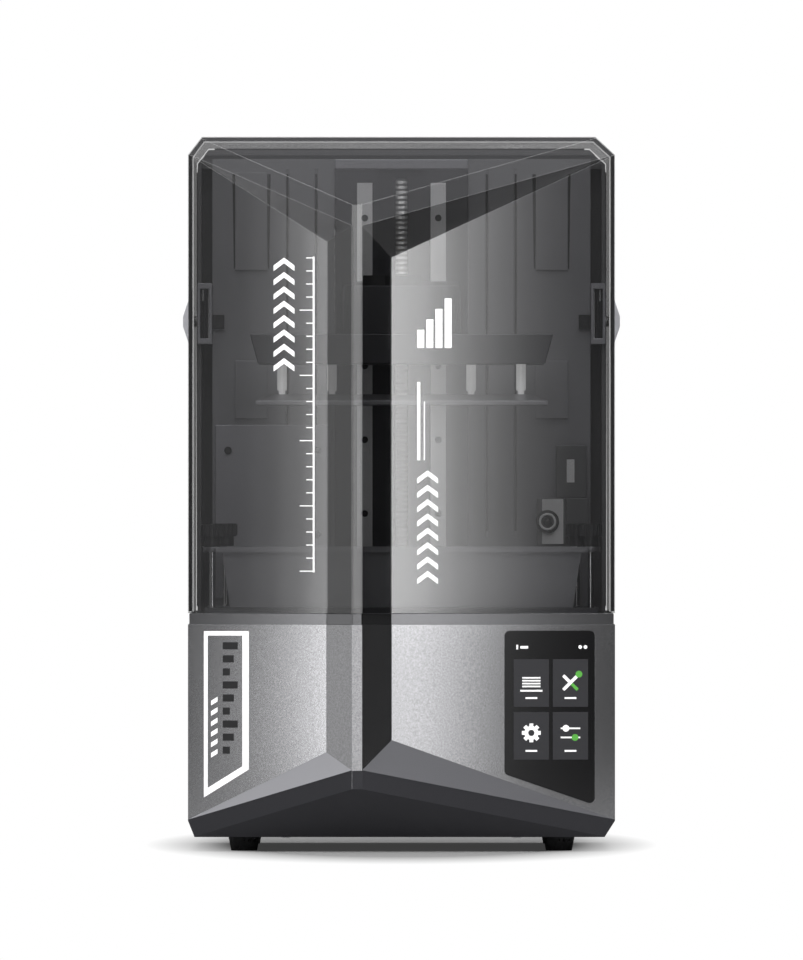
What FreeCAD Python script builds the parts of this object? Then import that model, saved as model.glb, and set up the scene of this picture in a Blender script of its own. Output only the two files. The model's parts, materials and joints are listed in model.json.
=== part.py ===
import FreeCAD, Part

import math
import os
import re

Vector = FreeCAD.Vector
Placement = FreeCAD.Placement
Rotation = FreeCAD.Rotation

# A resin printer, in millimetres: X to the right, Y to the back, Z up.
# The origin is on the floor under the middle of the machine.

doc = FreeCAD.newDocument("resin_printer")
sheet = doc.addObject("Spreadsheet::Sheet", "dims")

DRIVING = {
    # overall form
    "body_width": 327.4,
    "body_depth": 329.2,
    "total_height": 548.0,
    "foot_height": 11.1,
    "base_top": 174.0,
    "deck_top": 182.4,
    # folded front, measured from the crest of the prow
    "prow_depth": 27.6,
    "crest_left": -38.0,
    "crest_right": -30.1,
    "left_fold_x": -57.6,
    "left_fold_depth": 18.1,
    "right_fold_x": -7.5,
    "right_fold_depth": 22.0,
    # heights on the folded front
    "brow_drop": 68.5,
    "brow_left_x": -149.0,
    "brow_left_drop": 19.6,
    "brow_right_x": 149.7,
    "brow_right_drop": 17.7,
    "brow_band": 16.1,
    "brow_rise": 55.4,
    "left_panel_drop": 80.6,
    "right_panel_drop": 92.7,
    "left_panel_foot": 76.3,
    "right_panel_foot": 85.5,
    "keel_crest": 62.8,
    "keel_corner": 24.5,
    "keel_band": 14.5,
    "top_chamfer_left": 10.7,
    "top_chamfer_right": 15.0,
    "top_chamfer_height": 13.8,
    "foot_chamfer_left": 5.0,
    "foot_chamfer_right": 8.0,
    "foot_chamfer_height": 12.5,
    # walls and clearances
    "lid_wall": 3.0,
    "base_wall": 3.0,
    "deck_floor": 3.0,
    "belt_inset": 1.0,
    "lid_gap": 0.3,
    "fit_gap": 0.2,
    "running_gap": 0.05,
    "plate_sheet": 1.5,
    # feet and base fasteners
    "foot_top_radius": 12.2,
    "foot_bottom_radius": 10.0,
    "foot_margin": 42.7,
    "foot_front_margin": 64.6,
    "foot_back_margin": 29.6,
    "base_screw_radius": 3.0,
    "base_screw_head": 1.2,
    "base_screw_inset": 20.0,
    # touch panel on the right front panel
    "touch_width": 69.3,
    "touch_margin": 15.5,
    "touch_drop": 4.7,
    "touch_low_left": 59.4,
    "touch_low_right": 35.6,
    "touch_corner": 4.0,
    "touch_glass": 2.0,
    "touch_proud": 0.5,
    "touch_border": 6.0,
    "display_depth": 6.0,
    # stage under the vat
    "stage_margin": 12.7,
    "stage_front": -104.0,
    "stage_back": 64.0,
    "stage_height": 4.0,
    # exposure window and light engine
    "print_centre_y": -20.0,
    "mask_width": 236.0,
    "mask_length": 140.0,
    "mask_glass": 2.8,
    "mask_border": 7.0,
    "light_box_size": 120.0,
    "light_box_height": 42.0,
    "hood_wall": 2.0,
    "field_lens_thick": 3.0,
    # vat
    "vat_margin": 20.7,
    "vat_rim_length": 146.0,
    "vat_taper": 11.0,
    "vat_foot_length": 134.0,
    "vat_top": 233.2,
    "vat_rim": 4.0,
    "vat_flange": 4.0,
    "vat_wall": 3.0,
    "film_sheet": 0.3,
    "film_frame_width": 4.0,
    "film_frame_height": 5.0,
    "side_post_reach": 3.0,
    "side_post_y": -60.0,
    "back_post_inset": 6.5,
    "back_post_y": 56.0,
    "post_radius": 2.5,
    "stud_radius": 2.0,
    "ear_radius": 7.5,
    "knob_radius": 8.0,
    "knob_collar_radius": 6.0,
    "knob_collar": 7.5,
    "knob_height": 17.5,
    "knob_floor": 4.0,
    # rear housing
    "housing_reveal": 8.0,
    "housing_overhang": 32.0,
    "housing_drop": 9.0,
    "housing_wall": 3.0,
    "housing_gap": 1.4,
    "housing_clear": 4.5,
    "crown_half_depth": 12.0,
    "crown_sink": 0.6,
    "panel_margin": 15.9,
    "panel_depth": 64.6,
    "panel_sheet": 3.0,
    "panel_groove": 2.4,
    "panel_groove_depth": 1.6,
    "panel_pad": 2.0,
    "pad_inner": 105.0,
    "pad_outer": 130.0,
    "upper_pad_height": 76.0,
    "pad_drop": 3.0,
    "lower_pad_height": 45.0,
    "pad_gap": 71.0,
    "inner_groove_x": 66.7,
    "outer_groove_x": 89.0,
    "column_groove_x": 46.6,
    "groove_low": 240.0,
    "cover_margin": 2.2,
    "cover_right": -55.8,
    "cover_gap": 5.0,
    "cover_sheet": 1.6,
    # lifting column
    "column_half": 52.0,
    "column_proud": 4.0,
    "column_depth": 22.0,
    "column_drop": 20.0,
    "channel_half": 18.0,
    "channel_depth": 12.0,
    "cap_height": 7.5,
    "cap_sheet": 4.0,
    "rail_spacing": 57.4,
    "rail_width": 12.0,
    "rail_height": 8.0,
    "rail_foot": 190.0,
    "rail_drop": 11.0,
    "rail_screw_radius": 2.6,
    "rail_screw_head": 0.8,
    "rail_screw_first": 258.7,
    "rail_screw_end": 27.5,
    "screw_radius": 4.6,
    "screw_offset": 6.0,
    "screw_foot": 152.0,
    "screw_drop": 8.0,
    "nut_radius": 7.8,
    "nut_height": 30.0,
    "bearing_block_foot": 134.0,
    "motor_size": 42.0,
    "motor_height": 44.0,
    "motor_shaft_radius": 2.5,
    "coupling_radius": 9.5,
    "coupling_length": 20.0,
    # carriage and arm
    "block_width": 27.0,
    "block_length": 43.0,
    "block_depth": 14.0,
    "carriage_sheet": 8.0,
    "carriage_drop": 2.5,
    "carriage_height": 45.0,
    "arm_half": 45.7,
    "arm_front": -50.0,
    "tray_height": 23.2,
    "arm_height": 37.5,
    "arm_wall": 6.0,
    "arm_corner": 14.0,
    "lever_hub_radius": 15.0,
    "lever_thick": 8.0,
    "lever_reach": 22.0,
    "lever_half": 8.0,
    "lever_stem_radius": 4.0,
    # build platform
    "platform_gap": 31.6,
    "tray_foot_half": 110.7,
    "tray_top_half": 117.0,
    "tray_length": 116.0,
    "tray_flare": 2.0,
    "tray_wall": 4.0,
    "tray_floor": 5.0,
    "spigot_half": 36.0,
    "spigot_length": 44.0,
    "plate_bottom": 342.7,
    "plate_edge": 3.3,
    "plate_hip": 5.0,
    "plate_hip_inset": 14.0,
    "plate_half": 112.6,
    "plate_length": 116.0,
    "outer_post_x": 92.2,
    "inner_post_x": 54.0,
    "outer_post_y": -58.0,
    "inner_post_y": 16.0,
    "level_post_radius": 3.75,
    "level_pin_radius": 2.5,
    "level_pin_length": 3.0,
    # lid hinge
    "hinge_margin": 46.6,
    "hinge_drop": 139.0,
    "hinge_pin_radius": 4.0,
    "lid_foot_inset": 6.0,
    "lid_overhang": 38.0,
    "knee_rise": 11.0,
    "cap_half_height": 25.0,
    "cap_half_depth": 25.0,
    "cap_reach": 7.3,
    "cap_tip_half": 4.0,
    "hinge_box_below": 18.0,
    "hinge_box_above": 29.6,
    "hinge_box_proud": 16.0,
    "hinge_box_tail": 18.0,
    "hinge_slot_side": 2.1,
    "hinge_slot_end": 4.5,
    "hinge_slot_depth": 6.0,
    "damper_rod_radius": 1.6,
    "link_length": 9.3,
    "link_below": 6.0,
    "link_above": 5.0,
    "link_thick": 4.0,
    # camera and lamp
    "camera_width": 22.6,
    "camera_arm_length": 17.7,
    "camera_low": 234.0,
    "camera_high": 271.0,
    "camera_reach": 24.0,
    "camera_depth": 14.0,
    "lens_radius": 7.0,
    "lens_well_radius": 4.2,
    "lens_reach": 8.0,
    "lens_inset": 8.2,
    "lens_z": 252.4,
    "camera_margin": 1.8,
    "camera_arm_low": 250.0,
    "lamp_width": 23.8,
    "lamp_inset": 1.6,
    "lamp_high": 312.0,
    "lamp_thick": 8.0,
    # connectors, fan and electronics in the base
    "socket_x": 95.0,
    "socket_z": 85.0,
    "socket_width": 28.0,
    "socket_height": 20.0,
    "socket_depth": 26.0,
    "socket_wall": 3.0,
    "switch_x": 62.0,
    "switch_width": 14.0,
    "switch_height": 20.0,
    "switch_depth": 14.0,
    "switch_wall": 1.5,
    "switch_proud": 1.3,
    "switch_degrees": 10.0,
    "fan_x": -90.0,
    "fan_z": 90.0,
    "fan_size": 60.0,
    "fan_depth": 20.0,
    "fan_wall": 3.0,
    "fan_hub_radius": 12.0,
    "fan_blade_gap": 1.5,
    "usb_y": -60.0,
    "usb_z": 120.0,
    "usb_width": 13.0,
    "usb_height": 6.0,
    "usb_depth": 16.0,
    "usb_wall": 1.0,
    "usb_lip": 0.5,
    "board_left": -140.0,
    "board_right": -72.0,
    "board_front": -60.0,
    "board_back": 90.0,
    "board_lift": 6.0,
    "board_sheet": 1.6,
    "supply_left": 70.0,
    "supply_right": 140.0,
    "supply_front": 10.0,
    "supply_back": 135.0,
    "supply_height": 38.0,
    "vent_width": 4.0,
    "vent_length": 60.0,
    "vent_pitch": 10.0,
}

# Counts, angles and shares.
FAN_SLOTS = 5
SIDE_VENTS = 5
FLOOR_VENTS = 5
HOUSING_VENTS = 8
RAIL_SCREWS = 5
FAN_BLADES = 7
BLADE_DEGREES = 25
BLADE_SHARE = 0.9
TINY = 1e-6

# Sizes that follow from the others.
DERIVED = {
    "housing_half": "body_width / 2 - lid_wall - housing_gap",
    "panel_half": "body_width / 2 - panel_margin",
    "stage_half": "body_width / 2 - stage_margin",
    "vat_rim_width": "body_width - vat_margin * 2",
    "vat_foot_width": "vat_rim_width - vat_taper * 2",
    "side_post_x": "vat_rim_width / 2 + side_post_reach",
    "back_post_x": "vat_rim_width / 2 - back_post_inset",
    "foot_side_x": "body_width / 2 - foot_margin",
    "link_inner": "panel_half - link_length",
    "cover_left": "-panel_half + cover_margin",
    "camera_arm_right": "panel_half - camera_margin",
    "camera_right": "camera_arm_right - camera_arm_length",
    "camera_left": "camera_right - camera_width",
    "lens_x": "camera_left + lens_inset",
    "lamp_right": "camera_arm_right - lamp_inset",
    "lamp_left": "lamp_right - lamp_width",
    "touch_right": "body_width / 2 - touch_margin",
    "touch_left": "touch_right - touch_width",
    "hinge_y": "body_depth / 2 - hinge_margin",
    "panel_front": "body_depth / 2 - panel_depth",
    "housing_front": "panel_front - housing_reveal",
    "housing_back": "hinge_y + housing_overhang",
    "column_front": "panel_front - column_proud",
    "column_back": "column_front + column_depth",
    "block_front": "column_front - block_depth",
    "screw_axis_y": "column_front - screw_offset",
    "lid_back_foot": "hinge_y - lid_foot_inset",
    "lid_back_top": "hinge_y + lid_overhang",
    "roof_back": "hinge_y + housing_overhang",
    "hinge_box_front": "panel_front - hinge_box_proud",
    "hinge_box_back": "hinge_y + hinge_box_tail",
    "camera_front": "panel_front - camera_reach",
    "camera_back": "camera_front + camera_depth",
    "foot_front_y": "-body_depth / 2 + foot_front_margin",
    "foot_back_y": "body_depth / 2 - foot_back_margin",
    "brow_crest": "total_height - brow_drop",
    "brow_left": "total_height - brow_left_drop",
    "brow_right": "total_height - brow_right_drop",
    "left_panel_top": "total_height - left_panel_drop",
    "right_panel_top": "total_height - right_panel_drop",
    "housing_top": "total_height - housing_drop",
    "housing_ceiling": "housing_top - housing_clear - housing_wall * 2",
    "crown_top": "total_height - lid_wall - housing_gap",
    "column_top": "total_height - column_drop",
    "rail_top": "column_top - rail_drop",
    "screw_top": "column_top - screw_drop",
    "rail_screw_pitch": "(rail_top - rail_screw_end - rail_screw_first) / 4",
    "hinge_z": "total_height - hinge_drop",
    "hinge_box_low": "hinge_z - hinge_box_below",
    "hinge_box_high": "hinge_z + hinge_box_above",
    "link_low": "hinge_z - link_below",
    "link_high": "hinge_z + link_above",
    "lid_back_knee": "hinge_z + knee_rise",
    "upper_pad_high": "column_top - pad_drop",
    "upper_pad_low": "upper_pad_high - upper_pad_height",
    "lower_pad_high": "upper_pad_low - pad_gap",
    "lower_pad_low": "lower_pad_high - lower_pad_height",
    "cover_top": "lower_pad_low - cover_gap",
    "touch_top": "base_top - touch_drop",
    "arm_foot": "tray_foot + tray_height",
    "arm_top": "arm_foot + arm_height",
    "carriage_foot": "arm_foot - carriage_drop",
    "tray_foot": "plate_bottom + platform_gap",
}

CELLS = {alias: repr(value) for alias, value in DRIVING.items()}
CELLS.update({alias: "=" + words for alias, words in DERIVED.items()})
for row, alias in enumerate(CELLS, start=1):
    sheet.set(f"A{row}", alias)
    sheet.setAlias(f"B{row}", alias)
for row, words in enumerate(CELLS.values(), start=1):
    sheet.set(f"B{row}", words)
doc.recompute()

SUB_PARTS = []
WORD = re.compile(r"[a-z_]+[a-z0-9_]*")


def size(alias):
    """The number in the cell with this alias."""
    return float(sheet.get(alias))


def bound(text):
    """An expression over the sheet's aliases, as the document writes it."""

    def cell(match):
        word = match.group(0)
        return f"dims.{word}" if word in CELLS else word

    return WORD.sub(cell, str(text))


def bind(thing, prop, text):
    thing.setExpression(prop, bound(text))


def worth(text):
    """The value of such an expression, for code that needs the number."""
    probe = sheet.evalExpression(bound(text).replace("dims.", ""))
    return float(getattr(probe, "Value", probe))


def place(thing, x, y, z):
    bind(thing, "Placement.Base.x", x)
    bind(thing, "Placement.Base.y", y)
    bind(thing, "Placement.Base.z", z)


def box(name, low, high):
    """A block between two corners, each given as three expressions."""
    thing = doc.addObject("Part::Box", name)
    for prop, start, end in zip(("Length", "Width", "Height"), low, high):
        bind(thing, prop, f"({end}) - ({start})")
    place(thing, *low)
    return thing


TURN = {
    "x": Rotation(Vector(0, 1, 0), 90),
    "y": Rotation(Vector(1, 0, 0), -90),
    "z": Rotation(),
}


def rod(name, start, radius, length, axis="z"):
    """A cylinder that starts at a point and runs along +X, +Y or +Z."""
    thing = doc.addObject("Part::Cylinder", name)
    thing.Placement = Placement(Vector(), TURN[axis])
    bind(thing, "Radius", radius)
    bind(thing, "Height", length)
    place(thing, *start)
    return thing


def cut(name, base, *tools):
    thing = doc.addObject("Part::Cut", name)
    thing.Base = base
    thing.Tool = tools[0] if len(tools) == 1 else fuse(name + "_tools", *tools)
    return thing


def fuse(name, *things):
    thing = doc.addObject("Part::MultiFuse", name)
    thing.Shapes = list(things)
    return thing


def group(name, *things):
    """Separate solids that share one node."""
    thing = doc.addObject("Part::Compound", name)
    thing.Links = list(things)
    return thing


def sub_part(label, thing):
    thing.Label = label
    SUB_PARTS.append(thing)
    return thing


def frustum(name, low, low_half, high, high_half, centre):
    """A four-sided tapered block: half widths in X and Y at two heights."""
    thing = doc.addObject("Part::Wedge", name)
    thing.Placement = Placement(Vector(), Rotation(Vector(1, 0, 0), 90))
    bind(thing, "Ymin", "0")
    bind(thing, "Ymax", f"({high}) - ({low})")
    for ends, half in (("min", "-({})"), ("max", "({})")):
        bind(thing, "X" + ends, half.format(low_half[0]))
        bind(thing, "Z" + ends, half.format(low_half[1]))
        bind(thing, "X2" + ends, half.format(high_half[0]))
        bind(thing, "Z2" + ends, half.format(high_half[1]))
    place(thing, centre[0], centre[1], low)
    return thing


# Faceted outer form shared by the base, the deck and the lid.
REACH = 2.0 * (size("total_height") + size("body_width"))


def half_space(point, other, third, inset, keep):
    """The far side of the plane through three points, moved towards keep by inset."""
    normal = (other - point).cross(third - point).normalize()
    if normal.dot(keep - point) > 0:
        normal = -normal
    block = Part.makeBox(REACH, REACH, REACH, Vector(-REACH / 2, -REACH / 2, 0))
    block.Placement = Placement(point - normal * inset, Rotation(Vector(0, 0, 1), normal))
    return block


def folded_form(inset, low, high, back):
    """The machine's outer form between two heights, with every wall moved in by inset."""
    half = size("body_width") / 2
    crest = -size("body_depth") / 2
    corner = crest + size("prow_depth")
    left, right = size("crest_left"), size("crest_right")
    left_fold = Vector(size("left_fold_x"), crest + size("left_fold_depth"), 0)
    right_fold = Vector(size("right_fold_x"), crest + size("right_fold_depth"), 0)
    inside = Vector(0, 0, size("total_height") / 2)
    up = Vector(0, 0, 1)
    side = Vector(1, 0, 0)
    top = size("total_height")
    foot = size("foot_height")
    def outer(point, direction, other_direction):
        return half_space(point, point + direction, point + other_direction, inset, inside)

    solid = Part.makeBox(
        size("body_width") - 2 * inset,
        back - crest - inset,
        high - low,
        Vector(-half + inset, crest + inset, low),
    )
    crest_left = Vector(left, crest, 0)
    crest_right = Vector(right, crest, 0)
    left_corner = Vector(-half, corner, 0)
    right_corner = Vector(half, corner, 0)
    along = Vector(0, 1, 0)

    def on_prow(start, end, x, z):
        """A point on a prow wall, from its X and Z."""
        return start + (end - start) * ((x - start.x) / (end.x - start.x)) + up * z

    brow_left = on_prow(crest_left, left_corner, size("brow_left_x"), size("brow_left"))
    brow_right = on_prow(crest_right, right_corner, size("brow_right_x"), size("brow_right"))
    keel_left = left_corner + up * size("keel_corner")
    keel_right = right_corner + up * size("keel_corner")
    brow_slope = Vector(0, size("prow_depth"), size("brow_rise"))
    keel_slope = Vector(0, size("prow_depth"), size("keel_corner") - size("keel_crest"))
    brow_edge = crest_left + up * (size("brow_crest") + size("brow_band"))
    keel_edge = crest_left + up * (size("keel_crest") - size("keel_band"))
    rise = size("top_chamfer_height")
    drop = size("foot_chamfer_height")
    facets = [
        outer(crest_left, left_corner - crest_left, up),
        outer(crest_right, right_corner - crest_right, up),
        outer(brow_edge, side, brow_slope),
        outer(keel_edge, side, keel_slope),
        outer(Vector(-half, 0, top - rise), Vector(size("top_chamfer_left"), 0, rise), along),
        outer(Vector(half, 0, top - rise), Vector(-size("top_chamfer_right"), 0, rise), along),
        outer(Vector(-half, 0, foot + drop), Vector(size("foot_chamfer_left"), 0, -drop), along),
        outer(Vector(half, 0, foot + drop), Vector(-size("foot_chamfer_right"), 0, -drop), along),
    ]
    solid = solid.cut(facets)

    for edge, fold, end, brow, keel, panel_top, panel_foot in (
        (crest_left, left_fold, left_corner, brow_left, keel_left, "left_panel_top", "left_panel_foot"),
        (
            crest_right,
            right_fold,
            right_corner,
            brow_right,
            keel_right,
            "right_panel_top",
            "right_panel_foot",
        ),
    ):
        ceiling = [edge + up * size("brow_crest"), brow, fold + up * size(panel_top)]
        floor = [edge + up * size("keel_crest"), keel, fold + up * size(panel_foot)]
        hollow = half_space(fold, end, fold + up, inset, inside)
        front = Vector(fold.x, crest - REACH / 8, size("total_height") / 2)
        for wall in (
            half_space(fold, edge, fold + up, inset, inside),
            half_space(*ceiling, inset, ceiling[0] + up * REACH),
            half_space(*floor, inset, floor[0] - up * REACH),
        ):
            hollow = hollow.common(wall)
        if not hollow.isInside(front, 1.0, True):
            raise ValueError("a recess of the folded front faces the wrong way")
        solid = solid.cut(hollow)
    return solid.removeSplitter()


def form(name, inset, low, high, back):
    """folded_form as an object of the document."""
    thing = doc.addObject("Part::Feature", name)
    thing.Shape = folded_form(worth(inset), worth(low), worth(high), worth(back))
    return thing


BACK = "body_depth / 2"
MARGIN = "base_wall"


# Base casing, bottom plate and feet.
def wall_openings():
    """Holes through the base casing for the touch panel, connectors, fan and vents."""
    tools = []
    socket = box(
        "socket_hole",
        (
            "socket_x - socket_width / 2 - fit_gap",
            f"{BACK} - base_wall * 2",
            "socket_z - socket_height / 2 - fit_gap",
        ),
        (
            "socket_x + socket_width / 2 + fit_gap",
            f"{BACK} + base_wall",
            "socket_z + socket_height / 2 + fit_gap",
        ),
    )
    switch = box(
        "switch_hole",
        (
            "switch_x - switch_width / 2 - fit_gap",
            f"{BACK} - base_wall * 2",
            "socket_z - switch_height / 2 - fit_gap",
        ),
        (
            "switch_x + switch_width / 2 + fit_gap",
            f"{BACK} + base_wall",
            "socket_z + switch_height / 2 + fit_gap",
        ),
    )
    usb = box(
        "usb_hole",
        (
            "body_width / 2 - base_wall * 2",
            "usb_y - usb_width / 2 - fit_gap",
            "usb_z - usb_height / 2 - fit_gap",
        ),
        (
            "body_width / 2 + base_wall",
            "usb_y + usb_width / 2 + fit_gap",
            "usb_z + usb_height / 2 + fit_gap",
        ),
    )
    tools += [socket, switch, usb]
    for step in range(FAN_SLOTS):
        middle = f"fan_z + {step - FAN_SLOTS // 2} * vent_pitch"
        tools.append(
            box(
                f"fan_slot_{step}",
                (
                    "fan_x - vent_length / 2 + fan_wall * 2",
                    f"{BACK} - base_wall * 2",
                    f"{middle} - vent_width / 2",
                ),
                (
                    "fan_x + vent_length / 2 - fan_wall * 2",
                    f"{BACK} + base_wall",
                    f"{middle} + vent_width / 2",
                ),
            )
        )
    for side, sign in (("left", "-1"), ("right", "1")):
        for step in range(SIDE_VENTS):
            middle = f"{step} * vent_pitch + vent_length"
            tools.append(
                box(
                    f"{side}_vent_{step}",
                    (
                        f"{sign} * body_width / 2 - base_wall",
                        f"{middle} - vent_width / 2",
                        "vent_length - vent_width * 3",
                    ),
                    (
                        f"{sign} * body_width / 2 + base_wall",
                        f"{middle} + vent_width / 2",
                        "vent_length * 2 - vent_width * 3",
                    ),
                )
            )
    return tools


def touch_outline(border, front, back):
    """The touch panel's slanted plate, square to the right front panel, as a solid."""
    crest = -size("body_depth") / 2
    fold = Vector(size("right_fold_x"), crest + size("right_fold_depth"), 0)
    corner = Vector(size("body_width") / 2, crest + size("prow_depth"), 0)
    run = (corner - fold).normalize()
    outward = Vector(run.y, -run.x, 0)

    def at(x, z):
        return fold + run * ((x - fold.x) / run.x) + Vector(0, 0, z) + outward * front

    left = size("touch_left") + border
    right = size("touch_right") - border
    slope = (size("touch_low_right") - size("touch_low_left")) / (size("touch_right") - size("touch_left"))
    low_left = size("touch_low_left") + border + slope * border
    low_right = size("touch_low_right") + border - slope * border
    top = size("touch_top") - border
    corners = [at(left, low_left), at(right, low_right), at(right, top), at(left, top)]
    face = Part.Face(Part.makePolygon(corners + corners[:1]))
    solid = face.extrude(outward * (back - front))
    across = [edge for edge in solid.Edges if abs(edge.tangentAt(edge.FirstParameter).dot(outward)) > 0.99]
    return solid.makeFillet(size("touch_corner"), across)


def plate_on_panel(name, border, front, back):
    thing = doc.addObject("Part::Feature", name)
    thing.Shape = touch_outline(worth(border), worth(front), worth(back))
    return thing


def make_base():
    outside = form("base_outside", "0", "foot_height", "base_top", BACK)
    inside = form(
        "base_inside", "base_wall", "foot_height - base_wall", "base_top + base_wall", f"{BACK} - base_wall"
    )
    glass_seat = plate_on_panel("touch_seat", "-fit_gap", "touch_proud - touch_glass", "base_wall * 2")
    window = plate_on_panel("touch_window", "touch_border", "-display_depth * 2", "base_wall")
    shell = cut("base_shell", outside, inside, glass_seat, window, *wall_openings())
    sub_part("base_shell", shell)

    plate = form(
        "bottom_slab",
        "base_wall + fit_gap",
        "foot_height",
        "foot_height + plate_sheet",
        f"{BACK} - base_wall - fit_gap",
    )
    slots = []
    for step in range(FLOOR_VENTS):
        middle = f"{step - FLOOR_VENTS // 2} * vent_pitch * 2"
        slots.append(
            box(
                f"floor_vent_{step}",
                (f"{middle} - vent_width / 2", "body_depth / 4", "foot_height - plate_sheet"),
                (
                    f"{middle} + vent_width / 2",
                    "body_depth / 4 + vent_length",
                    "foot_height + plate_sheet * 2",
                ),
            )
        )
    sub_part("bottom_plate", cut("bottom_plate", plate, *slots))

    feet = []
    screws = []
    for side in (-1, 1):
        for end in ("foot_front_y", "foot_back_y"):
            foot = doc.addObject("Part::Cone", "foot")
            bind(foot, "Radius1", "foot_bottom_radius")
            bind(foot, "Radius2", "foot_top_radius")
            bind(foot, "Height", "foot_height")
            place(foot, f"{side} * foot_side_x", end, "0")
            feet.append(foot)
            screws.append(
                rod(
                    "base_screw",
                    (
                        f"{side} * (foot_side_x - foot_top_radius - base_screw_inset)",
                        end,
                        "foot_height - base_screw_head",
                    ),
                    "base_screw_radius",
                    "base_screw_head",
                )
            )
    sub_part("rubber_feet", group("rubber_feet", *feet))
    sub_part("base_screws", group("base_screws", *screws))


# Touch panel and its display.
def make_touch_panel():
    glass = plate_on_panel("touch_panel", "0", "touch_proud - touch_glass", "touch_proud")
    sub_part("touch_panel", glass)
    display = plate_on_panel(
        "touch_display",
        "touch_border + fit_gap",
        "touch_proud - touch_glass - display_depth",
        "touch_proud - touch_glass",
    )
    sub_part("touch_display", display)


# Deck over the base, with the window that the light comes through.
def mask_window(name):
    """The opening under the masking screen, through the deck and the stage."""
    return box(
        name,
        ("-mask_width / 2 + mask_border", "print_centre_y - mask_length / 2 + mask_border", "base_top"),
        ("mask_width / 2 - mask_border", "print_centre_y + mask_length / 2 - mask_border", "vat_top"),
    )


def make_deck():
    slab = form("deck_slab", "belt_inset", "base_top", "deck_top", f"{BACK} - belt_inset")
    under = form(
        "deck_under",
        "belt_inset + base_wall",
        "base_top - deck_floor",
        "deck_top - deck_floor",
        f"{BACK} - belt_inset - base_wall",
    )
    hole = rod(
        "deck_screw_hole",
        ("0", "screw_axis_y", "base_top - deck_floor"),
        "screw_radius + fit_gap * 5",
        "deck_top",
    )
    sub_part("deck_tray", cut("deck_tray", slab, under, mask_window("deck_window"), hole))


# Light engine under the exposure window, and the electronics.
FLOOR = "foot_height + plate_sheet"
CENTRE = ("0", "print_centre_y")
HOOD_TOP = "deck_top - deck_floor - field_lens_thick"


def make_light_engine():
    half = "light_box_size / 2"
    sub_part(
        "light_engine",
        box(
            "light_engine",
            (f"-{half}", f"print_centre_y - {half}", FLOOR),
            (half, f"print_centre_y + {half}", f"{FLOOR} + light_box_height"),
        ),
    )
    low = f"{FLOOR} + light_box_height"
    lower = (half, half)
    upper = ("mask_width / 2", "mask_length / 2")
    thin_lower = (f"{half} - hood_wall", f"{half} - hood_wall")
    thin_upper = ("mask_width / 2 - hood_wall", "mask_length / 2 - hood_wall")
    hood = cut(
        "light_hood",
        frustum("hood_outside", low, lower, HOOD_TOP, upper, CENTRE),
        frustum("hood_inside", low, thin_lower, HOOD_TOP, thin_upper, CENTRE),
    )
    sub_part("light_hood", hood)
    sub_part(
        "field_lens",
        box(
            "field_lens",
            ("-mask_width / 2", "print_centre_y - mask_length / 2", HOOD_TOP),
            ("mask_width / 2", "print_centre_y + mask_length / 2", f"{HOOD_TOP} + field_lens_thick"),
        ),
    )


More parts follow.
